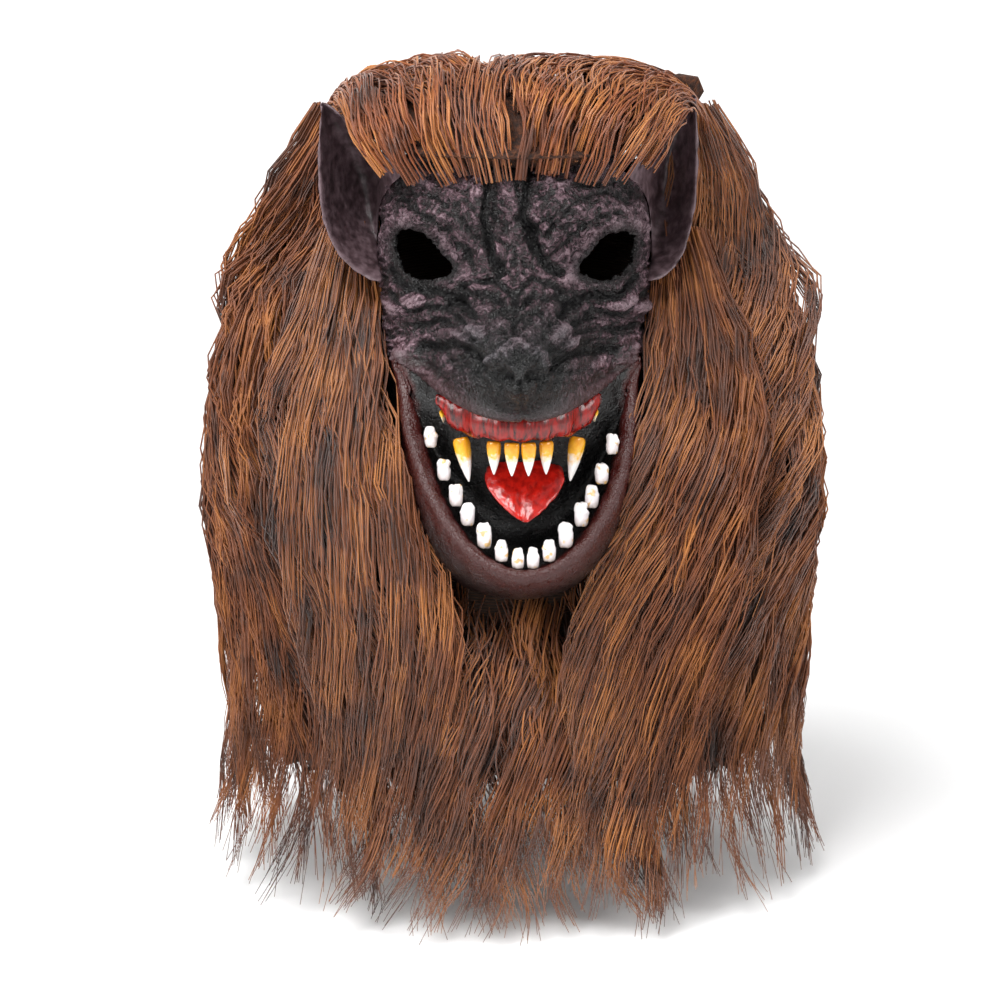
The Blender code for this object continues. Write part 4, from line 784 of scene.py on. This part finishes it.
fangEnamel = toothEnamel("yellowRootedEnamel", "#d98a10", "#f2b426", "#f4efec", 0.0)
pegEnamel = toothEnamel("stainedWhiteEnamel", "#cfc4bd", "#efe6e8", "#f5f1f1", 0.75)
ridgeEnamel = toothEnamel("yellowRidgeEnamel", "#eda91a", "#f5c32e", "#f6e9c8", 0.0)
fangs = ["upper_canine_left", "upper_canine_right"] + ["upper_incisor_%d" % k for k in range(1, 5)]
pegs = ["lower_tooth_%02d" % k for k in range(1, 15)]
for node in fangs + pegs + ["upper_side_teeth_left", "upper_side_teeth_right"]:
    tooth = rounded(node, node + "_enamel", mouthParts["toothLevels"])
    if node in pegs:
        # chewing faces get low cusps and the pits between them
        top = max(v.co.z for v in tooth.data.vertices)
        pushOut(tooth, lambda p: 0.0009 * noiseAt(p, 0.0028, 61) * (p[2] > top - 0.006))
    lows = [v.co.z for v in tooth.data.vertices]
    span = max(lows) - min(lows)
    up = node in pegs
    shares = [((z - min(lows)) if up else (max(lows) - z)) / span for z in lows]
    tooth.data.attributes.new("along", "FLOAT", "POINT").data.foreach_set("value", shares)
    tooth.data.shade_smooth()
    finishPiece(tooth, fangEnamel if node in fangs else pegEnamel if up else ridgeEnamel, "enamel", node)


# knitted lining cloth with fine rows of stitches
def knitCloth():
    made, tree, shader = newMaterial("brownKnitCloth")
    place = addNode(tree, "TexCoord").outputs["Object"]
    rows = addNode(tree, "TexWave", {"bands_direction": "Z"}, Vector=place, Scale=170.0, Distortion=1.5)
    ramp = addNode(tree, "ValToRGB", Fac=rows.outputs["Fac"])
    setRamp(ramp, [(0.0, "#1a0e08"), (1.0, "#38200f")])
    tree.links.new(ramp.outputs["Color"], shader.inputs["Base Color"])
    bump = addNode(tree, "Bump", Strength=0.5, Distance=0.0005, Height=rows.outputs["Fac"])
    tree.links.new(bump.outputs["Normal"], shader.inputs["Normal"])
    shader.inputs["Roughness"].default_value = 0.9
    return made


finishPiece(rounded("hood", "hoodCloth", 1), knitCloth(), "cloth", "hood")
print("mouth, ears and hood done")

# long wavy hair -------------------------------------------------------------------
hair = {
    "rise": 0.029, "drop": 0.482, "halfWidth": 0.194, "frontReach": 0.185, "backDepth": 0.160,
    "crownHalfWidth": 0.122, "crownFront": 0.108, "crownBack": 0.128, "crownMiddle": 0.048,
    "crownSquareness": 3.2, "steps": 16, "radius": 0.00062, "wave": 0.098, "waveHeight": 0.0074,
    "backSeam": 140.0,
}
# level, side, back, front shares, then the front edge's angle
maneTable = np.array(((0, 0.61, 0.79, 0.60, 99), (0.09, 0.74, 0.88, 0.60, 97), (0.19, 0.85, 0.95, 0.60, 96),
                      (0.25, 0.91, 0.98, 0.60, 89), (0.33, 0.95, 1, 0.60, 82), (0.43, 0.98, 1, 0.60, 75),
                      (0.53, 1, 1, 0.62, 66), (0.62, 0.96, 1, 0.62, 54), (0.73, 0.94, 0.99, 0.65, 44),
                      (0.85, 0.93, 0.98, 0.72, 37), (0.93, 0.96, 1, 0.82, 34), (1, 1.02, 1.04, 1, 33)))
crownEdge = np.array(((0, 0.40), (30, 0.39), (44, 0.32), (58, 0.04), (71, -0.19), (84, -0.12), (97, 0.14),
                      (125, 0.38), (180, 0.55)))
spread = np.random.default_rng(7)


def crownEdgeHeight(angle):
    turn = np.abs((np.asarray(angle, float) + 180.0) % 360.0 - 180.0)
    return -head["eyeDrop"] * np.interp(turn, crownEdge[:, 0], crownEdge[:, 1])


def maneRadius(angle, level):
    turn = np.radians(angle)
    side = np.interp(level, maneTable[:, 0], maneTable[:, 1]) * hair["halfWidth"]
    back = np.interp(level, maneTable[:, 0], maneTable[:, 2]) * hair["backDepth"]
    front = np.interp(level, maneTable[:, 0], maneTable[:, 3]) * hair["frontReach"]
    depth = np.where(np.cos(turn) > 0.0, front, back)
    return ((np.abs(np.sin(turn)) / side) ** 2.2 + (np.abs(np.cos(turn)) / depth) ** 2.2) ** (-1.0 / 2.2)


def crownReach(way):
    depth = np.where(way[..., 1] < 0.0, hair["crownFront"], hair["crownBack"])
    plan = np.hypot(way[..., 0] / hair["crownHalfWidth"], way[..., 1] / depth)
    lift = np.abs(way[..., 2]) / (hair["rise"] + hair["crownMiddle"])
    power = hair["crownSquareness"]
    return (plan ** power + lift ** power) ** (-1.0 / power)


# one lock of strands round a guide: offsets shrink to the tip, waves share a phase
def lockStrands(guide, out, count, width, depth, lines, tones, wild=1.0):
    steps = len(guide)
    t = np.linspace(0.0, 1.0, steps)
    along = np.gradient(guide, axis=0)
    along /= np.linalg.norm(along, axis=1, keepdims=True) + 1e-9
    across = np.cross(along, out)
    across /= np.linalg.norm(across, axis=1, keepdims=True) + 1e-9
    length = np.concatenate([[0.0], np.cumsum(np.linalg.norm(np.diff(guide, axis=0), axis=1))])
    phase, pitch = spread.uniform(0.0, 6.28), hair["wave"] * spread.uniform(0.75, 1.35)
    tone = spread.uniform(0.0, 1.0)
    for _ in range(count):
        a, b = spread.normal(0.0, 0.5), spread.uniform(-1.0, 0.35)
        own = spread.uniform(0.88, 1.0)
        at = length * own
        base = np.stack([np.interp(at, length, guide[:, k]) for k in range(3)], axis=1)
        close = 1.0 - 0.72 * t ** 1.4
        shift = 0.55 * spread.normal()
        sway = hair["waveHeight"] * wild * smoothStep(0.0, 0.25, t)
        crimp = np.sin(6.2832 * at / pitch + phase + shift)
        side = a * width * close + sway * crimp + 0.004 * wild * spread.normal() * t * t
        high = b * depth * close + 0.6 * sway * np.sin(6.2832 * at / pitch + phase + 1.3 + shift)
        lines.append(base + across * side[:, None] + out * (high - 0.3 * sway)[:, None])
        tones.append(np.clip(0.65 * tone + 0.35 * spread.uniform(), 0.0, 1.0))


# strand tree: tapered tubes on guide edges, made real and given the fur material
def strandTree():
    tree = bpy.data.node_groups.new("furStrands", "GeometryNodeTree")
    tree.interface.new_socket("Geometry", in_out="INPUT", socket_type="NodeSocketGeometry")
    thick = tree.interface.new_socket("Strand radius", in_out="INPUT", socket_type="NodeSocketFloat")
    point = tree.interface.new_socket("Tip share", in_out="INPUT", socket_type="NodeSocketFloat")
    cloth = tree.interface.new_socket("Fur material", in_out="INPUT", socket_type="NodeSocketMaterial")
    tree.interface.new_socket("Geometry", in_out="OUTPUT", socket_type="NodeSocketGeometry")
    source = addNode(tree, "NodeGroupInput").outputs
    curve = addNode(tree, "GeometryNodeMeshToCurve", Mesh=source[0])
    place = addNode(tree, "GeometryNodeSplineParameter").outputs["Factor"]
    taper = addNode(tree, "MapRange", smoothMap, Value=place, From_Min=0.45,
                    To_Min=1.0, To_Max=source[2])
    size = addNode(tree, "Math", {"operation": "MULTIPLY"}, i0=source[1], i1=taper)
    sized = addNode(tree, "GeometryNodeSetCurveRadius", Curve=curve, Radius=size)
    ring = addNode(tree, "GeometryNodeCurvePrimitiveCircle", Resolution=3, Radius=1.0)
    kept = addNode(tree, "GeometryNodeCaptureAttribute", Geometry=sized)
    kept.capture_items.new("FLOAT", "way")
    tree.links.new(place, kept.inputs[1])
    tube = addNode(tree, "GeometryNodeCurveToMesh", Curve=kept)
    tree.links.new(ring.outputs[0], tube.inputs["Profile Curve"])
    tube.inputs["Fill Caps"].default_value = True
    if "Scale" in tube.inputs:
        tree.links.new(size.outputs[0], tube.inputs["Scale"])
    named = addNode(tree, "GeometryNodeStoreNamedAttribute", Geometry=tube, Name="way")
    tree.links.new(kept.outputs[1], named.inputs["Value"])
    real = addNode(tree, "GeometryNodeRealizeInstances", Geometry=named)
    dressed = addNode(tree, "GeometryNodeSetMaterial", Geometry=real, Material=source[3])
    out = addNode(tree, "NodeGroupOutput")
    tree.links.new(dressed.outputs[0], out.inputs[0])
    return tree, {"radius": thick.identifier, "tip": point.identifier, "material": cloth.identifier}


def furFibre(name, dark, middle, light):
    made, tree, shader = newMaterial(name)
    tone = addNode(tree, "Attribute", {"attribute_name": "tone"}).outputs["Fac"]
    place = addNode(tree, "TexCoord").outputs["Object"]
    patch = addNode(tree, "TexNoise", Vector=place, Scale=30.0, Detail=3.0)
    mixed = addNode(tree, "Math", multiplyAdd, i0=patch, i1=1.1, i2=-0.35)
    level = addNode(tree, "Math", {"operation": "MULTIPLY_ADD", "use_clamp": True}, i0=tone, i1=0.6,
                    i2=mixed)
    ramp = addNode(tree, "ValToRGB", Fac=level)
    setRamp(ramp, [(0.08, dark), (0.5, middle), (0.95, light)])
    tree.links.new(ramp.outputs["Color"], shader.inputs["Base Color"])
    shader.inputs["Roughness"].default_value = 0.45
    shader.inputs["Sheen Weight"].default_value = 0.15
    return made


strands, sockets = strandTree()
fur = furFibre("acrylicFurFibre", "#281006", "#6f3812", "#ac6a2e")
crownFibre = furFibre("crownFurFibre", "#3a1a0a", "#84431a", "#bc7838")


def buildStrands(name, lines, tones, material, *nodes):
    steps = len(lines[0])
    points = np.concatenate(lines)
    edges = [(s * steps + k, s * steps + k + 1) for s in range(len(lines)) for k in range(steps - 1)]
    mesh = bpy.data.meshes.new(name)
    mesh.from_pydata(points.tolist(), edges, [])
    tone = mesh.attributes.new("tone", "FLOAT", "POINT")
    tone.data.foreach_set("value", np.repeat(tones, steps).astype(np.float32))
    piece = bpy.data.objects.new(name, mesh)
    bpy.context.collection.objects.link(piece)
    grow = piece.modifiers.new("strands", "NODES")
    grow.node_group = strands
    grow[sockets["radius"]] = hair["radius"]
    grow[sockets["tip"]] = 0.35
    grow[sockets["material"]] = material
    bakeModifiers(piece)
    piece.data.shade_smooth()
    return finishPiece(piece, material, "fur", *nodes)


# underfur that the long strands lie on, darkened as painted shade so the gaps between strands read as shadow
# depth
def underFur():
    made, tree, shader = newMaterial("shadowDarkUnderfur")
    place = addNode(tree, "TexCoord").outputs["Object"]
    stretch = addNode(tree, "Mapping", Vector=place)
    stretch.inputs["Scale"].default_value = (420.0, 420.0, 34.0)
    streak = addNode(tree, "TexNoise", Vector=stretch, Scale=1.0, Detail=4.0)
    ramp = addNode(tree, "ValToRGB", Fac=streak)
    setRamp(ramp, [(0.3, "#1a0b04"), (0.52, "#3f1f0c"), (0.74, "#6a3814")])
    tree.links.new(ramp.outputs["Color"], shader.inputs["Base Color"])
    bump = addNode(tree, "Bump", Strength=1.0, Distance=0.003, Height=streak)
    tree.links.new(bump.outputs["Normal"], shader.inputs["Normal"])
    shader.inputs["Roughness"].default_value = 0.8
    return made


underfurShadePaint = underFur()


# it stays a little inside the CAD fur, pulled up at the tips and in under the chin
def buildUnderFur(node, name, inset, chin=0.0):
    body = rounded(node, name, 1)
    pushOut(body, lambda p: -inset)
    for vert in body.data.vertices:
        x, y, z = vert.co
        pull = 1.0 - 0.5 * chin - 0.5 * chin * (1.0 - float(smoothStep(0.0, 0.07, -0.297 - z)))
        pull *= 1.0 - 0.16 * float(smoothStep(0.28, 0.48, -z))
        vert.co = (x * pull, y * pull, z if z > -0.33 else -0.33 + 0.55 * (z + 0.33))
    return finishPiece(body, underfurShadePaint, "fur", node)


# hanging locks between two edges; the guides follow the outer form of the CAD fur
def hangingLocks(frontEdge, backEdge, locks, perLock, topLevel, topHeight=None):
    lines, tones = [], []
    level = np.linspace(0.0, 1.0, hair["steps"])
    for k in range(locks):
        share = (k + 0.5 + spread.uniform(-0.4, 0.4)) / locks
        layer = spread.uniform(0.0, 1.0)
        first = topLevel + (1.0 - topLevel) * (0.30 * spread.uniform() * (layer > 0.55))
        last = spread.uniform(0.92, 1.0)
        at = first + (last - first) * level
        angle = frontEdge(at) + (backEdge(at) - frontEdge(at)) * share
        drift = spread.uniform(-3.5, 3.5) * level ** 2
        angle = angle + drift + 2.0 * np.sin(5.0 * at + spread.uniform(0.0, 6.28)) * level
        start = crownEdgeHeight(angle) if topHeight is None else np.full(len(angle), topHeight)
        z = start + (-hair["drop"] + 0.004 - start) * (at - topLevel) / (1.0 - topLevel)
        radius = maneRadius(angle, at) + 0.0065 - 0.007 * (1.0 - layer)
        if topHeight is not None:
            radius = radius - 0.045 * (1.0 - smoothStep(0.0, 0.30, level))
            z = z - 0.050 * spread.uniform() * (1.0 - level)
        elif first > topLevel + 0.01:
            radius = radius - 0.010 * (1.0 - smoothStep(0.0, 0.15, level))
        turn = np.radians(angle)
        guide = np.stack([radius * np.sin(turn), -radius * np.cos(turn), z], axis=1)
        out = np.stack([np.sin(turn), -np.cos(turn), np.zeros(len(turn))], axis=1)
        width = np.radians(abs(float(backEdge(at)[0] - frontEdge(at)[0]))) * 0.15 / locks * 2.3
        lockStrands(guide, out, perLock, max(width, 0.006), 0.005, lines, tones)
    return lines, tones


# locks on the wall of fur beside the cheeks, from the head out to the outer form
def cheekLocks(side, locks, perLock):
    lines, tones = [], []
    level = np.linspace(0.0, 1.0, hair["steps"])
    for k in range(locks):
        share = 0.12 + 0.90 * (k + 0.5 + spread.uniform(-0.4, 0.4)) / locks
        at = level * spread.uniform(0.60, 0.80)
        edge = np.interp(at, maneTable[:, 0], maneTable[:, 4])
        edge = edge - (1.0 - share) * 10.0 * smoothStep(0.2, 0.3, at)
        angle = side * (edge - 1.5 - 2.0 * spread.uniform())
        outer = maneRadius(angle, at) + 0.004
        radius = 0.092 + (outer - 0.092) * share
        start = crownEdgeHeight(angle) + 0.012
        z = start + (-hair["drop"] - start) * at
        turn = np.radians(angle)
        guide = np.stack([radius * np.sin(turn), -radius * np.cos(turn), z], axis=1)
        out = -side * np.stack([np.cos(turn), np.sin(turn), np.zeros(len(turn))], axis=1)
        lockStrands(guide, out, perLock, 0.006, 0.004, lines, tones)
    return lines, tones


# locks that hug the mouth and sweep in under the chin: v, then x and y of the inner and outer path in mm
jawPaths = np.array(((12, 92, -6, 118, -16), (-30, 91, -34, 134, -36), (-62, 86, -62, 148, -54),
                     (-100, 80, -90, 155, -72), (-140, 68, -106, 152, -88), (-180, 50, -116, 142, -102),
                     (-230, 36, -124, 128, -114), (-300, 34, -126, 114, -124), (-390, 40, -158, 112, -146)))


def jawLocks(side, locks, perLock):
    lines, tones = [], []
    path = np.linspace(0.0, 1.0, hair["steps"])
    for k in range(locks):
        share = ((k + spread.uniform()) / locks) ** 1.25
        first = 12.0 - 60.0 * spread.uniform() * (k % 3 > 0)
        v = first + (-300.0 - 90.0 * spread.uniform() - first) * path
        inner, outer = [[np.interp(-v, -jawPaths[:, 0], jawPaths[:, c]) for c in pair]
                        for pair in ((1, 2), (3, 4))]
        lift = 9.0 * (smoothStep(0.0, 0.25, path) - 1.0)
        x = (inner[0] + (outer[0] - inner[0]) * share) * side
        y = inner[1] + (outer[1] - inner[1]) * share - lift
        guide = np.stack([x, y, v - 84.0], axis=1) * 0.001
        out = np.stack([0.5 * x, -np.abs(y) - 40.0, np.zeros(len(x))], axis=1)
        out /= np.linalg.norm(out, axis=1, keepdims=True)
        lockStrands(guide, out, perLock, 0.007, 0.005, lines, tones, 0.8)
    return lines, tones


def maneFront(side):
    return lambda level: side * (np.interp(level, maneTable[:, 0], maneTable[:, 4]) + 1.0)


for node, side in (("mane_left", -1.0), ("mane_right", 1.0)):
    buildUnderFur(node, node.replace("mane_", "") + "ShadeDarkFur", 0.008)
    lines, tones = hangingLocks(maneFront(side), lambda level: side * hair["backSeam"] + 0.0 * level,
                                68, 17, 0.0)
    more = cheekLocks(side, 34, 16)
    lines, tones = lines + more[0], tones + more[1]
    buildStrands(node.replace("mane_", "") + "SideStrands", lines, tones, fur, node)
    lines, tones = jawLocks(side, 32, 16)
    buildStrands(node.replace("mane_", "") + "JawStrands", lines, tones, fur)
buildUnderFur("mane_back", "backShadeDarkFur", 0.008)
lines, tones = hangingLocks(lambda level: hair["backSeam"] + 0.0 * level,
                            lambda level: 360.0 - hair["backSeam"] + 0.0 * level, 50, 17, 0.0)
buildStrands("backStrands", lines, tones, fur, "mane_back")
buildUnderFur("neck_fur", "neckShadeDarkFur", 0.006, 0.36)
lines, tones = hangingLocks(lambda level: -maneFront(1.0)(level), maneFront(1.0), 64, 17, 0.55, -0.262)
buildStrands("neckStrands", lines, tones, fur, "neck_fur")
print("hanging hair done")


# crown strands rise from the fringe seam, sweep back over the head and down behind
def buildCrown():
    lines, tones = [], []
    buildUnderFur("crown_fur", "crownShadeDarkFur", 0.010)
    middle = np.array([0.0, 0.0, -hair["crownMiddle"]])
    steps = np.linspace(0.0, 1.0, hair["steps"])
    for k in range(144):
        begin = -100.0 + 200.0 * (k + spread.uniform()) / 144
        rows = spread.uniform(0.0, 1.0) ** 1.3
        edge = crownEdgeHeight(begin)
        x0 = 0.98 * hair["crownHalfWidth"] * math.sin(math.radians(begin))
        y0 = -0.98 * hair["crownFront"] * math.cos(math.radians(begin))
        low = np.array([x0, y0, float(edge) - 0.005]) - middle
        peak = np.array([0.0, 0.0, hair["rise"] + hair["crownMiddle"]])
        ahead = low * (1.0 - 0.75 * rows) + peak * rows * 0.75
        side = math.copysign(1.0, begin)
        fan = min(1.0, abs(begin) / 60.0)
        behind = np.array([x0 * 0.75 + side * 0.11 * fan, 0.02 + 0.10 * (1.0 - 0.6 * fan) + 0.03 * rows,
                           float(crownEdgeHeight(170.0 - 60.0 * fan)) - 0.02]) - middle
        top = np.array([x0 * 0.9 + side * 0.02 * fan, 0.35 * y0, hair["rise"] + hair["crownMiddle"] + 0.02])
        s = steps[:, None]
        way = (1 - s) ** 2 * ahead + 2 * s * (1 - s) * top + s * s * behind
        way /= np.linalg.norm(way, axis=1, keepdims=True)
        reach = crownReach(way) + 0.0035 - 0.010 * (1.0 - smoothStep(0.0, 0.10, steps))
        lockStrands(middle + way * reach[:, None], way, 11, 0.0085, 0.005, lines, tones, 0.75)
    return buildStrands("crownStrands", lines, tones, crownFibre, "crown_fur")


buildCrown()
print("crown done")

# room: seamless pale sweep, soft boxes above and beside the camera ----------------
room = {"floor": -0.4835, "half": 3.0, "back": 1.6, "high": 3.0, "curve": 0.5}


def buildSweep():
    points, faces = [], []
    bend = [(-4.0, 0.0), (room["back"] - room["curve"], 0.0)]
    bend += [(room["back"] - room["curve"] * (1.0 - math.sin(a)), room["curve"] * (1.0 - math.cos(a)))
             for a in np.linspace(0.1, math.pi / 2.0, 12)]
    bend += [(room["back"], room["high"])]
    for y, z in bend:
        points += [(-room["half"], y, room["floor"] + z), (room["half"], y, room["floor"] + z)]
    for k in range(len(bend) - 1):
        faces.append((2 * k, 2 * k + 1, 2 * k + 3, 2 * k + 2))
    sweep = meshObject("paperSweep", points, faces)
    made, tree, shader = newMaterial("whitePaper")
    shader.inputs["Base Color"].default_value = linear("#f7f7f7")
    shader.inputs["Roughness"].default_value = 0.9
    sweep.data.materials.append(made)
    sweep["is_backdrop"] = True


def softBox(name, place, aim, size, power):
    data = bpy.data.lights.new(name, "AREA")
    data.shape, data.size, data.energy = "SQUARE", size, power
    made = bpy.data.objects.new(name, data)
    made.location = place
    made.rotation_mode = "QUATERNION"
    made.rotation_quaternion = (Vector(aim) - Vector(place)).to_track_quat("-Z", "Y")
    bpy.context.collection.objects.link(made)


buildSweep()
softBox("topBox", (-0.5, -0.9, 1.5), (0.0, 0.0, -0.15), 0.9, 42.0)
softBox("leftBox", (-1.7, -1.0, 0.5), (0.0, 0.0, -0.2), 0.9, 20.0)
softBox("rightBox", (1.7, -1.1, 0.6), (0.0, 0.0, -0.2), 0.9, 20.0)
world = bpy.data.worlds.new("paleStudio")
world.use_nodes = True
world.node_tree.nodes["Background"].inputs["Color"].default_value = (1.0, 1.0, 1.0, 1.0)
world.node_tree.nodes["Background"].inputs["Strength"].default_value = 0.5
bpy.context.scene.world = world
bpy.context.scene.view_settings.view_transform = "Standard"
eye = bpy.data.cameras.new("camera")
eye.lens, eye.sensor_width = 91.5, 36.0
eyeObject = bpy.data.objects.new("camera", eye)
eyeObject.location = (-0.009, -1.6, 0.0686)
eyeObject.rotation_euler = (math.radians(90.0 - 11.16), 0.0, 0.0)
bpy.context.collection.objects.link(eyeObject)
bpy.context.scene.camera = eyeObject

shown = [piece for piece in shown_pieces() if piece.type == "MESH" and not piece.hide_render]
print("triangles shown", sum(len(side.vertices) - 2 for piece in shown for side in piece.data.polygons))
